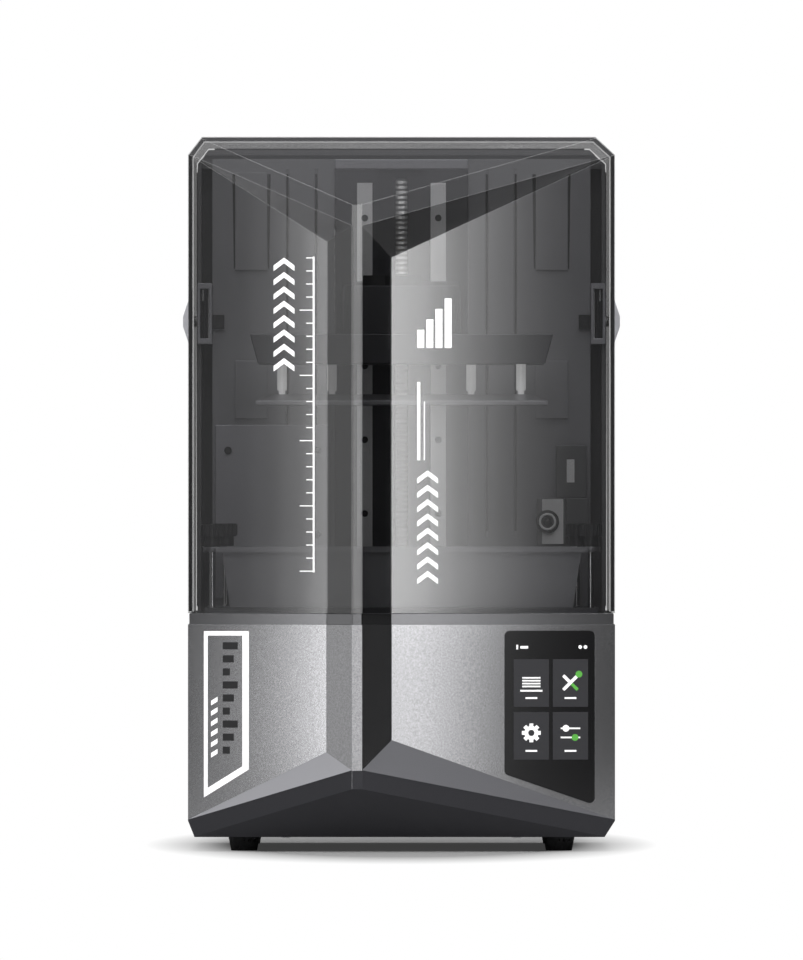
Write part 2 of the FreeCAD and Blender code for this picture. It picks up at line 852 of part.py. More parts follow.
def make_electronics():
    lift = f"{FLOOR} + board_lift"
    board = box(
        "board_sheet_plate",
        ("board_left", "board_front", lift),
        ("board_right", "board_back", f"{lift} + board_sheet"),
    )
    spacers = [
        rod("board_spacer", (x, y, FLOOR), "board_lift / 2", "board_lift")
        for x in ("board_left + board_lift", "board_right - board_lift")
        for y in ("board_front + board_lift", "board_back - board_lift")
    ]
    sub_part("main_board", fuse("main_board", board, *spacers))
    sub_part(
        "power_supply",
        box(
            "power_supply",
            ("supply_left", "supply_front", FLOOR),
            ("supply_right", "supply_back", f"{FLOOR} + supply_height"),
        ),
    )

    inner_back = f"{BACK} - socket_depth"
    shell = box(
        "socket_block",
        ("socket_x - socket_width / 2", inner_back, "socket_z - socket_height / 2"),
        ("socket_x + socket_width / 2", f"{BACK}", "socket_z + socket_height / 2"),
    )
    well = box(
        "socket_well",
        (
            "socket_x - socket_width / 2 + socket_wall",
            f"{inner_back} + socket_wall",
            "socket_z - socket_height / 2 + socket_wall",
        ),
        (
            "socket_x + socket_width / 2 - socket_wall",
            f"{BACK} + socket_wall",
            "socket_z + socket_height / 2 - socket_wall",
        ),
    )
    sub_part("power_inlet", cut("power_inlet", shell, well))

    case = box(
        "switch_block",
        ("switch_x - switch_width / 2", f"{BACK} - switch_depth", "socket_z - switch_height / 2"),
        ("switch_x + switch_width / 2", f"{BACK}", "socket_z + switch_height / 2"),
    )
    pocket = box(
        "switch_pocket",
        (
            "switch_x - switch_width / 2 + switch_wall",
            f"{BACK} - switch_depth + switch_wall",
            "socket_z - switch_height / 2 + switch_wall",
        ),
        (
            "switch_x + switch_width / 2 - switch_wall",
            f"{BACK} + switch_wall",
            "socket_z + switch_height / 2 - switch_wall",
        ),
    )
    sub_part("switch_case", cut("switch_case", case, pocket))
    rocker = rod(
        "rocker_barrel",
        (
            "switch_x - switch_width / 2 + switch_wall + fit_gap",
            f"{BACK} - switch_depth / 2 + switch_wall",
            "socket_z",
        ),
        "switch_depth / 2 - switch_wall - fit_gap",
        "switch_width - 2 * switch_wall - 2 * fit_gap",
        "x",
    )
    face = box(
        "rocker_face",
        (
            "switch_x - switch_width / 2 + switch_wall + fit_gap",
            f"{BACK} - switch_depth / 2 + switch_wall",
            "socket_z - switch_height / 2 + switch_wall * 2",
        ),
        (
            "switch_x + switch_width / 2 - switch_wall - fit_gap",
            f"{BACK} + switch_proud - switch_wall",
            "socket_z + switch_height / 2 - switch_wall * 2",
        ),
    )
    sub_part("power_switch", fuse("power_switch", rocker, face))

    usb_low = ("body_width / 2 - usb_depth", "usb_y - usb_width / 2", "usb_z - usb_height / 2")
    usb_high = ("body_width / 2", "usb_y + usb_width / 2", "usb_z + usb_height / 2")
    slot_low = (
        "body_width / 2 - usb_depth + usb_wall",
        "usb_y - usb_width / 2 + usb_wall",
        "usb_z - usb_height / 2 + usb_lip",
    )
    slot_high = (
        "body_width / 2 + usb_wall",
        "usb_y + usb_width / 2 - usb_wall",
        "usb_z + usb_height / 2 - usb_lip",
    )
    sub_part(
        "usb_port",
        cut("usb_port", box("usb_block", usb_low, usb_high), box("usb_slot", slot_low, slot_high)),
    )


def make_fan():
    back = f"{BACK} - base_wall"
    front = f"{back} - fan_depth"
    bore = "(fan_size / 2 - fan_wall)"
    frame = box(
        "fan_block",
        ("fan_x - fan_size / 2", front, "fan_z - fan_size / 2"),
        ("fan_x + fan_size / 2", back, "fan_z + fan_size / 2"),
    )
    duct = rod("fan_duct", ("fan_x", f"{front} - fan_wall", "fan_z"), bore, "fan_depth + fan_wall * 2", "y")
    stub = rod("fan_stub", ("fan_x", front, "fan_z"), "fan_hub_radius", "fan_wall", "y")
    pin = rod("fan_pin", ("fan_x", front, "fan_z"), "fan_wall", "fan_depth / 2", "y")
    spokes = [
        box(
            "fan_spoke_wide",
            (f"fan_x - {bore} - fan_wall / 2", front, "fan_z - fan_wall / 2"),
            (f"fan_x + {bore} + fan_wall / 2", f"{front} + fan_wall", "fan_z + fan_wall / 2"),
        ),
        box(
            "fan_spoke_tall",
            ("fan_x - fan_wall / 2", front, f"fan_z - {bore} - fan_wall / 2"),
            ("fan_x + fan_wall / 2", f"{front} + fan_wall", f"fan_z + {bore} + fan_wall / 2"),
        ),
    ]
    sub_part("fan_frame", fuse("fan_frame", cut("fan_ring", frame, duct), stub, pin, *spokes))

    hub_front = f"{front} + fan_wall + fan_blade_gap"
    hub_back = f"{back} - fan_blade_gap"
    length = f"({hub_back}) - ({hub_front})"
    hub = rod("rotor_hub", ("fan_x", hub_front, "fan_z"), "fan_hub_radius", length, "y")
    blades = []
    for step in range(FAN_BLADES):
        blade = doc.addObject("Part::Box", "rotor_blade")
        bind(blade, "Length", f"{bore} - fan_blade_gap")
        bind(blade, "Width", f"({length}) * {BLADE_SHARE}")
        bind(blade, "Height", "fan_wall / 2")
        turn = Rotation(Vector(0, 1, 0), 360.0 * step / FAN_BLADES)
        blade.Placement = Placement(Vector(), turn.multiply(Rotation(Vector(1, 0, 0), BLADE_DEGREES)))
        place(blade, "fan_x", f"{hub_front} + fan_blade_gap", "fan_z")
        blades.append(blade)
    space = rod("rotor_space", ("fan_x", hub_front, "fan_z"), f"{bore} - fan_blade_gap", length, "y")
    trimmed = doc.addObject("Part::MultiCommon", "rotor_trimmed")
    trimmed.Shapes = [fuse("rotor_blades", hub, *blades), space]
    bearing = rod(
        "rotor_bore",
        ("fan_x", front, "fan_z"),
        "fan_wall + running_gap",
        "fan_depth / 2 + running_gap",
        "y",
    )
    sub_part("fan_rotor", cut("fan_rotor", trimmed, bearing))


# Stage under the vat, with the masking screen let into it.
STAGE_TOP = "deck_top + stage_height"


def make_stage():
    plate = box(
        "stage_plate",
        ("-stage_half", "stage_front", "deck_top"),
        ("stage_half", "stage_back", STAGE_TOP),
    )
    seat = box(
        "mask_seat",
        (
            "-mask_width / 2 - fit_gap",
            "print_centre_y - mask_length / 2 - fit_gap",
            f"{STAGE_TOP} - mask_glass",
        ),
        (
            "mask_width / 2 + fit_gap",
            "print_centre_y + mask_length / 2 + fit_gap",
            f"{STAGE_TOP} + mask_glass",
        ),
    )
    sub_part("vat_stage", cut("vat_stage", plate, seat, mask_window("stage_window")))
    sub_part(
        "mask_screen",
        box(
            "mask_screen",
            ("-mask_width / 2", "print_centre_y - mask_length / 2", f"{STAGE_TOP} - mask_glass"),
            ("mask_width / 2", "print_centre_y + mask_length / 2", STAGE_TOP),
        ),
    )


# Vat, its release film, and the posts and knobs that hold it.
POSTS = {
    "front_left": ("-side_post_x", "side_post_y"),
    "front_right": ("side_post_x", "side_post_y"),
    "back_left": ("-back_post_x", "back_post_y"),
    "back_right": ("back_post_x", "back_post_y"),
}
FILM = "deck_top + stage_height"
VAT_FOOT = "deck_top + stage_height + film_sheet"
EAR_FOOT = "vat_top - vat_rim"


def make_vat():
    low = ("vat_foot_width / 2", "vat_foot_length / 2")
    high = ("vat_rim_width / 2 - vat_flange", "vat_rim_length / 2 - vat_flange")
    low_in = ("vat_foot_width / 2 - vat_wall", "vat_foot_length / 2 - vat_wall")
    high_in = ("vat_rim_width / 2 - vat_flange - vat_wall", "vat_rim_length / 2 - vat_flange - vat_wall")
    outside = frustum("vat_outside", VAT_FOOT, low, "vat_top", high, CENTRE)
    inside = frustum("vat_inside", VAT_FOOT, low_in, "vat_top", high_in, CENTRE)
    rim = box(
        "vat_rim_block",
        ("-vat_rim_width / 2", "print_centre_y - vat_rim_length / 2", EAR_FOOT),
        ("vat_rim_width / 2", "print_centre_y + vat_rim_length / 2", "vat_top"),
    )
    ears = []
    holes = []
    for where, (x, y) in POSTS.items():
        inward = "print_centre_y + vat_rim_length / 2 - vat_flange"
        ears.append(rod("vat_ear", (x, y, EAR_FOOT), "ear_radius", "vat_rim"))
        if where.startswith("back"):
            web_low = (f"{x} - ear_radius", inward, EAR_FOOT)
            web_high = (f"{x} + ear_radius", y, "vat_top")
            ears.append(box("vat_web", web_low, web_high))
        holes.append(rod("vat_ear_hole", (x, y, EAR_FOOT), "stud_radius + fit_gap", "vat_rim"))
    seat = box(
        "film_seat",
        (
            "-vat_foot_width / 2 + vat_wall - fit_gap",
            "print_centre_y - vat_foot_length / 2 + vat_wall - fit_gap",
            VAT_FOOT,
        ),
        (
            "vat_foot_width / 2 - vat_wall + fit_gap",
            "print_centre_y + vat_foot_length / 2 - vat_wall + fit_gap",
            f"{VAT_FOOT} + film_frame_height",
        ),
    )
    sub_part("vat_body", cut("vat_body", fuse("vat_casting", outside, rim, *ears), inside, seat, *holes))

    frame_low = (
        "-vat_foot_width / 2 + vat_wall",
        "print_centre_y - vat_foot_length / 2 + vat_wall",
        VAT_FOOT,
    )
    frame_high = (
        "vat_foot_width / 2 - vat_wall",
        "print_centre_y + vat_foot_length / 2 - vat_wall",
        f"{VAT_FOOT} + film_frame_height",
    )
    hole_low = [f"{frame_low[0]} + film_frame_width", f"{frame_low[1]} + film_frame_width", FILM]
    hole_high = [f"{frame_high[0]} - film_frame_width", f"{frame_high[1]} - film_frame_width", "vat_top"]
    sub_part(
        "film_frame",
        cut("film_frame", box("film_block", frame_low, frame_high), box("film_hole", hole_low, hole_high)),
    )
    sub_part(
        "release_film",
        box("release_film", (frame_low[0], frame_low[1], FILM), (frame_high[0], frame_high[1], VAT_FOOT)),
    )


def make_vat_clamps():
    posts = []
    stud_top = "vat_top + lid_gap + knob_height - knob_floor - fit_gap"
    for x, y in POSTS.values():
        stem = rod("vat_post_stem", (x, y, STAGE_TOP), "post_radius", f"{EAR_FOOT} - ({STAGE_TOP})")
        stud = rod("vat_post_stud", (x, y, STAGE_TOP), "stud_radius", f"{stud_top} - ({STAGE_TOP})")
        posts.append(fuse("vat_post", stem, stud))
    sub_part("vat_posts", group("vat_posts", *posts))
    seat = "vat_top + lid_gap"
    for where, (x, y) in POSTS.items():
        collar = rod("knob_collar_rod", (x, y, seat), "knob_collar_radius", "knob_collar")
        head = rod("knob_head", (x, y, f"{seat} + knob_collar"), "knob_radius", "knob_height - knob_collar")
        bore = rod("knob_bore", (x, y, seat), "stud_radius + running_gap", "knob_height - knob_floor")
        sub_part(f"vat_knob_{where}", cut(f"vat_knob_{where}", fuse("knob_turned", collar, head), bore))


# Rear housing, its ribbed inner panel and the lifting column.
def make_rear_housing():
    outside = box(
        "housing_block",
        ("-housing_half", "housing_front", "deck_top"),
        ("housing_half", "housing_back", "housing_top"),
    )
    limit = form("housing_limit", "lid_wall + housing_gap", "deck_top", "housing_top", "housing_back")
    bind(limit, "Placement.Base.z", "-housing_clear")
    block = doc.addObject("Part::MultiCommon", "housing_solid")
    block.Shapes = [outside, limit]

    # A raised strip above the hinge line fills the gap below the lid's roof and stays inside its swing.
    strip = box(
        "crown_strip",
        ("-housing_half", "hinge_y - crown_half_depth", "housing_ceiling"),
        ("housing_half", "hinge_y + crown_half_depth", "crown_top"),
    )
    swing = form("crown_limit", "lid_wall + housing_gap", "deck_top", "crown_top", "housing_back")
    bind(swing, "Placement.Base.z", "-crown_sink")
    crown = doc.addObject("Part::MultiCommon", "housing_crown")
    crown.Shapes = [strip, swing]
    ceiling_front = "column_back + fit_gap"
    inside = box(
        "housing_hollow",
        ("-housing_half + housing_wall", "housing_front - housing_wall", "deck_top - housing_wall"),
        ("housing_half - housing_wall", "housing_back - housing_wall", "housing_ceiling"),
    )
    mouth = box(
        "housing_mouth",
        ("-housing_half + housing_wall", "housing_front - housing_wall", "deck_top - housing_wall"),
        ("housing_half - housing_wall", ceiling_front, "housing_top"),
    )
    bores = [
        rod(
            "housing_pin_hole",
            ("-housing_half - housing_wall", "hinge_y", "hinge_z"),
            "hinge_pin_radius + running_gap",
            "housing_half * 2 + housing_wall * 2",
            "x",
        )
    ]
    for side in (-1, 1):
        for step in range(HOUSING_VENTS):
            middle = f"housing_top - vent_length - {step} * vent_pitch"
            x = f"{side} * vent_length"
            bores.append(
                box(
                    "housing_vent",
                    (
                        f"{x} - vent_length / 2",
                        "housing_back - housing_wall * 2",
                        f"{middle} - vent_width / 2",
                    ),
                    (f"{x} + vent_length / 2", "housing_back + housing_wall", f"{middle} + vent_width / 2"),
                )
            )
    sub_part("rear_housing", cut("rear_housing", fuse("housing_body", block, crown), inside, mouth, *bores))


def make_back_panel():
    front = "panel_front"
    back = "panel_front + panel_sheet"
    sheet_block = box(
        "panel_block",
        ("-panel_half", front, "deck_top"),
        ("panel_half", back, "housing_top - housing_wall - fit_gap"),
    )
    flanges = [
        box(
            "panel_flange",
            (f"{side} * panel_half - panel_sheet / 2 - {side} * panel_sheet / 2", front, "deck_top"),
            (
                f"{side} * panel_half + panel_sheet / 2 - {side} * panel_sheet / 2",
                "housing_back - housing_wall",
                "housing_ceiling - fit_gap",
            ),
        )
        for side in (-1, 1)
    ]
    pads = []
    for side in (-1, 1):
        inner, outer = ("pad_inner", "pad_outer") if side > 0 else ("-pad_outer", "-pad_inner")
        for level in ("upper", "lower"):
            pads.append(
                box(
                    "panel_pad_block",
                    (inner, "panel_front - panel_pad", f"{level}_pad_low"),
                    (outer, front, f"{level}_pad_high"),
                )
            )
    slot = box(
        "panel_slot",
        ("-column_half - fit_gap", "panel_front - panel_sheet", "deck_top - panel_sheet"),
        ("column_half + fit_gap", "panel_front + panel_sheet * 2", "column_top + fit_gap"),
    )
    grooves = []
    for side in (-1, 1):
        for x in ("inner_groove_x", "outer_groove_x"):
            grooves.append(
                box(
                    "panel_groove_cut",
                    (f"{side} * {x} - panel_groove / 2", "panel_front - panel_pad * 2", "groove_low"),
                    (f"{side} * {x} + panel_groove / 2", "panel_front + panel_groove_depth", "column_top"),
                )
            )
    sub_part(
        "back_panel",
        cut("back_panel", fuse("panel_pressing", sheet_block, *flanges, *pads), slot, *grooves),
    )
    sub_part(
        "service_cover",
        box(
            "service_cover",
            ("cover_left", "panel_front - cover_sheet", "deck_top + vent_pitch"),
            ("cover_right", "panel_front", "cover_top"),
        ),
    )
    screws = [
        rod(
            "cover_screw",
            (x, "panel_front - cover_sheet - base_screw_head", z),
            "base_screw_radius",
            "base_screw_head",
            "y",
        )
        for x in ("cover_left + base_screw_inset / 2", "cover_right - base_screw_inset / 2")
        for z in ("cover_top - base_screw_inset", "deck_top + vent_length")
    ]
    sub_part("cover_screws", group("cover_screws", *screws))


def make_column():
    block = box(
        "column_block",
        ("-column_half", "column_front", "deck_top"),
        ("column_half", "column_back", "column_top"),
    )
    channel = box(
        "column_channel",
        ("-channel_half", "column_front - channel_depth", "deck_top - channel_depth"),
        ("channel_half", "column_front + channel_depth", "column_top + channel_depth"),
    )
    grooves = [
        box(
            "column_groove",
            (
                f"{side} * column_groove_x - panel_groove / 2",
                "column_front - panel_groove_depth",
                "deck_top - panel_groove",
            ),
            (
                f"{side} * column_groove_x + panel_groove / 2",
                "column_front + panel_groove_depth",
                "column_top + panel_groove",
            ),
        )
        for side in (-1, 1)
    ]
    sub_part("z_column", cut("z_column", block, channel, *grooves))
    sub_part(
        "column_cap",
        box(
            "column_cap",
            ("-column_half", "panel_front - cap_sheet", "column_top"),
            ("column_half", "panel_front", "column_top + cap_height"),
        ),
    )
    screws = []
    for side, name in ((-1, "left_rail"), (1, "right_rail")):
        x = f"{side} * rail_spacing / 2"
        sub_part(
            name,
            box(
                name,
                (f"{x} - rail_width / 2", "column_front - rail_height", "rail_foot"),
                (f"{x} + rail_width / 2", "column_front", "rail_top"),
            ),
        )
        for step in range(RAIL_SCREWS):
            screws.append(
                rod(
                    "rail_screw",
                    (
                        x,
                        "column_front - rail_height - rail_screw_head",
                        f"rail_screw_first + {step} * rail_screw_pitch",
                    ),
                    "rail_screw_radius",
                    "rail_screw_head",
                    "y",
                )
            )
    sub_part("rail_screws", group("rail_screws", *screws))


# Lead screw, motor, and the carriage that lifts the platform.
def make_lead_screw():
    sub_part(
        "lead_screw",
        rod("lead_screw", ("0", "screw_axis_y", "screw_foot"), "screw_radius", "screw_top - screw_foot"),
    )
    middle = "screw_foot - coupling_length / 2"
    ring = rod("coupling_ring", ("0", "screw_axis_y", middle), "coupling_radius", "coupling_length")
    upper = rod(
        "coupling_upper",
        ("0", "screw_axis_y", "screw_foot"),
        "screw_radius + running_gap",
        "coupling_length",
    )
    lower = rod(
        "coupling_lower",
        ("0", "screw_axis_y", f"{middle}"),
        "motor_shaft_radius + running_gap",
        "coupling_length",
    )
    sub_part("motor_coupling", cut("motor_coupling", ring, upper, lower))

    half = "motor_size / 2"
    block = box(
        "bearing_block_solid",
        (f"-{half}", f"screw_axis_y - {half} + fit_gap * 2", "bearing_block_foot"),
        (half, f"screw_axis_y + {half}", "deck_top - deck_floor"),
    )
    room = rod(
        "coupling_room",
        ("0", "screw_axis_y", "bearing_block_foot"),
        "coupling_radius + fit_gap * 5",
        "screw_foot + coupling_length - bearing_block_foot",
    )
    bearing = rod(
        "bearing_bore",
        ("0", "screw_axis_y", "bearing_block_foot"),
        "screw_radius + running_gap",
        "deck_top",
    )
    sub_part("bearing_block", cut("bearing_block", block, room, bearing))

    case = box(
        "motor_case",
        (f"-{half}", f"screw_axis_y - {half} + fit_gap * 2", "bearing_block_foot - motor_height"),
        (half, f"screw_axis_y + {half}", "bearing_block_foot"),
    )
    shaft = rod(
        "motor_shaft",
        ("0", "screw_axis_y", "bearing_block_foot - motor_height / 2"),
        "motor_shaft_radius",
        "screw_foot - bearing_block_foot + motor_height / 2 - fit_gap * 2",
    )
    sub_part("z_motor", fuse("z_motor", case, shaft))


def make_carriage():
    top = "carriage_foot + carriage_height"
    block_foot = "carriage_foot + (carriage_height - block_length) / 2"
    blocks = []
    for side in (-1, 1):
        x = f"{side} * rail_spacing / 2"
        solid = box(
            "rail_block_solid",
            (f"{x} - block_width / 2", "block_front", block_foot),
            (f"{x} + block_width / 2", "column_front - rail_height / 3", f"{block_foot} + block_length"),
        )
        way = box(
            "rail_block_way",
            (
                f"{x} - rail_width / 2 - running_gap",
                "column_front - rail_height - rail_screw_head - fit_gap",
                block_foot,
            ),
            (f"{x} + rail_width / 2 + running_gap", "column_front", f"{block_foot} + block_length"),
        )
        blocks.append(cut("rail_block", solid, way))
    sub_part("rail_blocks", group("rail_blocks", *blocks))

    plate = box(
        "carriage_block",
        ("-arm_half", "block_front - carriage_sheet", "carriage_foot"),
        ("arm_half", "block_front", top),
    )
    sub_part("carriage_plate", plate)
    nut_foot = "carriage_foot + (carriage_height - nut_height) / 2"
    nut = rod("nut_barrel", ("0", "screw_axis_y", nut_foot), "nut_radius", "nut_height")
    bridge = box(
        "nut_bridge",
        ("-nut_radius", "block_front", nut_foot),
        ("nut_radius", "screw_axis_y", f"{nut_foot} + nut_height"),
    )
    bore = rod("nut_bore", ("0", "screw_axis_y", nut_foot), "screw_radius + running_gap", "nut_height")
    sub_part("lead_nut", cut("lead_nut", fuse("nut_solid", nut, bridge), bore))

    arm = box(
        "arm_block",
        ("-arm_half", "arm_front", "arm_foot"),
        ("arm_half", "block_front - carriage_sheet", "arm_top"),
    )
    rounded = doc.addObject("Part::Fillet", "arm_rounded")
    rounded.Base = arm
    doc.recompute()
    front_edges = [
        (index, size("arm_corner"), size("arm_corner"))
        for index, edge in enumerate(arm.Shape.Edges, start=1)
        if edge.BoundBox.YMax < size("arm_front") + TINY and edge.BoundBox.XLength < TINY
    ]
    rounded.Edges = front_edges
    hollow = box(
        "arm_hollow",
        ("-arm_half + arm_wall", "arm_front + arm_wall", "arm_foot - arm_wall"),
        ("arm_half - arm_wall", "block_front - carriage_sheet - arm_wall", "arm_top - arm_wall"),
    )
    stem_hole = rod(
        "arm_stem_hole",
        ("0", "print_centre_y", "arm_foot"),
        "lever_stem_radius + running_gap",
        "arm_top",
    )
    sub_part("lift_arm", cut("lift_arm", rounded, hollow, stem_hole))

    seat = "arm_top + fit_gap"
    hub = rod("lever_hub", ("0", "print_centre_y", seat), "lever_hub_radius", "lever_thick")
    handle = box(
        "lever_handle",
        ("-lever_reach", "print_centre_y - lever_half", seat),
        ("0", "print_centre_y + lever_half", f"{seat} + lever_thick"),
    )
    end = rod("lever_end", ("-lever_reach", "print_centre_y", seat), "lever_half", "lever_thick")
    stem = rod(
        "lever_stem",
        ("0", "print_centre_y", "arm_top - arm_wall - fit_gap"),
        "lever_stem_radius",
        "arm_wall + lever_thick",
    )
    sub_part("clamp_lever", fuse("clamp_lever", hub, handle, end, stem))


def make_platform():
    length = "tray_length / 2"
    outside = frustum(
        "tray_outside",
        "tray_foot",
        ("tray_foot_half", length),
        "arm_foot",
        ("tray_top_half", f"{length} + tray_flare"),
        CENTRE,
    )
    inside = frustum(
        "tray_inside",
        "tray_foot + tray_floor",
        ("tray_foot_half - tray_wall", f"{length} - tray_wall"),
        "arm_foot",
        ("tray_top_half - tray_wall", f"{length} + tray_flare - tray_wall"),
        CENTRE,
    )
    spigot = box(
        "tray_spigot",
        ("-spigot_half", "print_centre_y - spigot_length / 2", "tray_foot + tray_floor"),
        ("spigot_half", "print_centre_y + spigot_length / 2", "arm_top - arm_wall - fit_gap * 3"),
    )
    sub_part("platform_tray", fuse("platform_tray", cut("tray_shell", outside, inside), spigot))

    edge = box(
        "plate_edge_block",
        ("-plate_half", "print_centre_y - plate_length / 2", "plate_bottom"),
        ("plate_half", "print_centre_y + plate_length / 2", "plate_bottom + plate_edge"),
    )
    hip = frustum(
        "plate_hip_block",
        "plate_bottom + plate_edge",
        ("plate_half", "plate_length / 2"),
        "plate_bottom + plate_edge + plate_hip",
        ("plate_half - plate_hip_inset", "plate_length / 2 - plate_hip_inset"),
        CENTRE,
    )
    sub_part("build_plate", fuse("build_plate", edge, hip))

    posts = []
    foot = "plate_bottom + plate_edge + plate_hip"
    for side in (-1, 1):
        for x, y in (("outer_post_x", "outer_post_y"), ("inner_post_x", "inner_post_y")):
            spot = (f"{side} * {x}", y)
            pin = rod("level_pin", (*spot, foot), "level_pin_radius", "level_pin_length")
            post = rod(
                "level_post",
                (*spot, f"{foot} + level_pin_length"),
                "level_post_radius",
                f"tray_foot - ({foot}) - level_pin_length",
            )
            posts.append(fuse("level_post_pair", pin, post))
    sub_part("level_posts", group("level_posts", *posts))


# Lid, its hinge pins and caps, and the fixed hinge boxes with their dampers.
def make_lid():
    foot = "deck_top + lid_gap"
    outside = form("lid_outside", "0", foot, "total_height", "lid_back_top")
    inside = form(
        "lid_inside",
        "lid_wall",
        "deck_top - lid_wall",
        "total_height - lid_wall",
        "lid_back_top + lid_wall",
    )
    half = "body_width"
    behind = doc.addObject("Part::Feature", "lid_back_cut")
    profile = [
        Vector(-size("body_width"), size("lid_back_foot"), size("deck_top") - size("lid_wall")),
        Vector(-size("body_width"), size("lid_back_foot"), size("deck_top") + size("lid_gap")),
        Vector(-size("body_width"), size("lid_back_top"), size("lid_back_knee")),
        Vector(-size("body_width"), size("body_depth"), size("lid_back_knee")),
        Vector(-size("body_width"), size("body_depth"), size("deck_top") - size("lid_wall")),
    ]
    face = Part.Face(Part.makePolygon(profile + profile[:1]))
    behind.Shape = face.extrude(Vector(2 * size("body_width"), 0, 0))
    roof_cut = box(
        "roof_back_cut",
        (f"-{half} / 2 + lid_wall", "roof_back", "lid_back_knee"),
        (f"{half} / 2 - lid_wall", "body_depth", "total_height + lid_wall"),
    )
    bore = rod(
        "lid_pin_hole",
        (f"-{half}", "hinge_y", "hinge_z"),
        "hinge_pin_radius + running_gap",
        f"{half} * 2",
        "x",
    )
    sub_part("lid_shell", cut("lid_shell", outside, inside, behind, roof_cut, bore))

    pins = []
    caps = []
    boxes = []
    dampers = []
    links = []
    for side in (-1, 1):
        link_low, link_high = ("link_inner", "panel_half") if side > 0 else ("-panel_half", "-link_inner")
        links.append(
            box(
                "hinge_link",
                (link_low, "panel_front - link_thick", "link_low"),
                (link_high, "panel_front", "link_high"),
            )
        )
        inner = "panel_half + fit_gap"
        length = "body_width / 2 - panel_half - fit_gap"
        start = "-body_width / 2" if side < 0 else inner
        pins.append(rod("hinge_pin", (start, "hinge_y", "hinge_z"), "hinge_pin_radius", length, "x"))
        cap = doc.addObject("Part::Wedge", "hinge_cap")
        turn = Rotation(Vector(0, 0, 1), 90 if side < 0 else -90)
        cap.Placement = Placement(Vector(), turn)
        bind(cap, "Ymin", "0")
        bind(cap, "Ymax", "cap_reach")
        for end, sign in (("min", "-1"), ("max", "1")):
            bind(cap, "X" + end, f"{sign} * cap_half_depth")
            bind(cap, "Z" + end, f"{sign} * cap_half_height")
            bind(cap, "X2" + end, f"{sign} * cap_tip_half")
            bind(cap, "Z2" + end, f"{sign} * cap_tip_half")
        place(cap, f"{side} * body_width / 2", "hinge_y", "hinge_z")
        caps.append(cap)

        inner_wall = "housing_half - housing_wall - fit_gap"
        low_x, high_x = (inner, "housing_half") if side > 0 else ("-housing_half", f"-({inner})")
        deep_low, deep_high = (inner, inner_wall) if side > 0 else (f"-({inner_wall})", f"-({inner})")
        face_block = box(
            "hinge_box_face",
            (low_x, "hinge_box_front", "hinge_box_low"),
            (high_x, "housing_front - fit_gap", "hinge_box_high"),
        )
        deep_block = box(
            "hinge_box_deep",
            (deep_low, "hinge_box_front", "hinge_box_low"),
            (deep_high, "hinge_box_back", "hinge_box_high"),
        )
        slot = box(
            "hinge_box_slot",
            (
                f"{low_x} + hinge_slot_side",
                "hinge_box_front - hinge_slot_depth",
                "hinge_box_low + hinge_slot_end",
            ),
            (
                f"{high_x} - hinge_slot_side",
                "hinge_box_front + hinge_slot_depth",
                "hinge_box_high - hinge_slot_end",
            ),
        )
        bore_fixed = rod(
            "hinge_box_bore",
            ("-body_width", "hinge_y", "hinge_z"),
            "hinge_pin_radius + running_gap",
            "body_width * 2",
            "x",
        )
        boxes.append(cut("hinge_box", fuse("hinge_box_solid", face_block, deep_block), slot, bore_fixed))
        middle = f"({low_x} + {high_x}) / 2"
        dampers.append(
            rod(
                "damper_rod",
                (middle, "hinge_box_front + hinge_slot_depth / 2", "hinge_box_low + hinge_slot_end"),
                "damper_rod_radius",
                "hinge_box_high - hinge_box_low - hinge_slot_end * 2",
            )
        )
    sub_part("hinge_pins", group("hinge_pins", *pins))
    sub_part("hinge_caps", group("hinge_caps", *caps))
    sub_part("hinge_boxes", group("hinge_boxes", *boxes))
    sub_part("hinge_dampers", group("hinge_dampers", *dampers))
    sub_part("hinge_links", group("hinge_links", *links))


# Camera and lamp beside the column.
def make_camera():
    sub_part(
        "camera_housing",
        box(
            "camera_housing",
            ("camera_left", "camera_front", "camera_low"),
            ("camera_right", "camera_back", "camera_high"),
        ),
    )
    barrel = rod(
        "lens_barrel",
        ("lens_x", "camera_front - lens_reach", "lens_z"),
        "lens_radius",
        "lens_reach",
        "y",
    )
    well = rod(
        "lens_well",
        ("lens_x", "camera_front - lens_reach", "lens_z"),
        "lens_well_radius",
        "lens_reach / 2",
        "y",
    )
    sub_part("camera_lens", cut("camera_lens", barrel, well))
    sub_part(
        "camera_arm",
        box(
            "camera_arm",
            ("camera_right", "camera_front + fit_gap", "camera_arm_low"),
            ("camera_arm_right", "panel_front", "camera_high"),
        ),
    )
    sub_part(
        "chamber_lamp",
        box(
            "chamber_lamp",
            ("lamp_left", "camera_back - lamp_thick", "camera_high"),
            ("lamp_right", "camera_back", "lamp_high"),
        ),
    )


make_base()
make_touch_panel()
make_deck()
make_light_engine()
make_electronics()
make_fan()
make_stage()
make_vat()
make_vat_clamps()
make_rear_housing()
make_back_panel()
make_column()
make_lead_screw()
make_carriage()
make_platform()
make_lid()
make_camera()
doc.recompute()

for thing in doc.Objects:
    if "Invalid" in thing.State or "Error" in thing.State:
        raise RuntimeError(f"{thing.Label} failed: {thing.State}")

os.makedirs("parts", exist_ok=True)
for thing in SUB_PARTS:
    shape = thing.Shape
    if shape.isNull() or not shape.isValid() or not shape.Solids:
        raise RuntimeError(f"{thing.Label} is not a valid solid")
    shape.exportStep(f"parts/{thing.Label}.step")
    print(thing.Label, len(shape.Solids), round(shape.Volume), shape.BoundBox)
print(len(SUB_PARTS), "sub-parts")
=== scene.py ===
# %% [markdown]
# # A resin printer with a smoky lid
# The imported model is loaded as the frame. Its pieces get materials and soft edges, and thin printed
# designs, screen tiles and small fittings are modelled around it. Blender works in metres, in the frame of
# the model. Sizes of pieces are written in millimetres and multiplied by MM, those of the studio in metres.

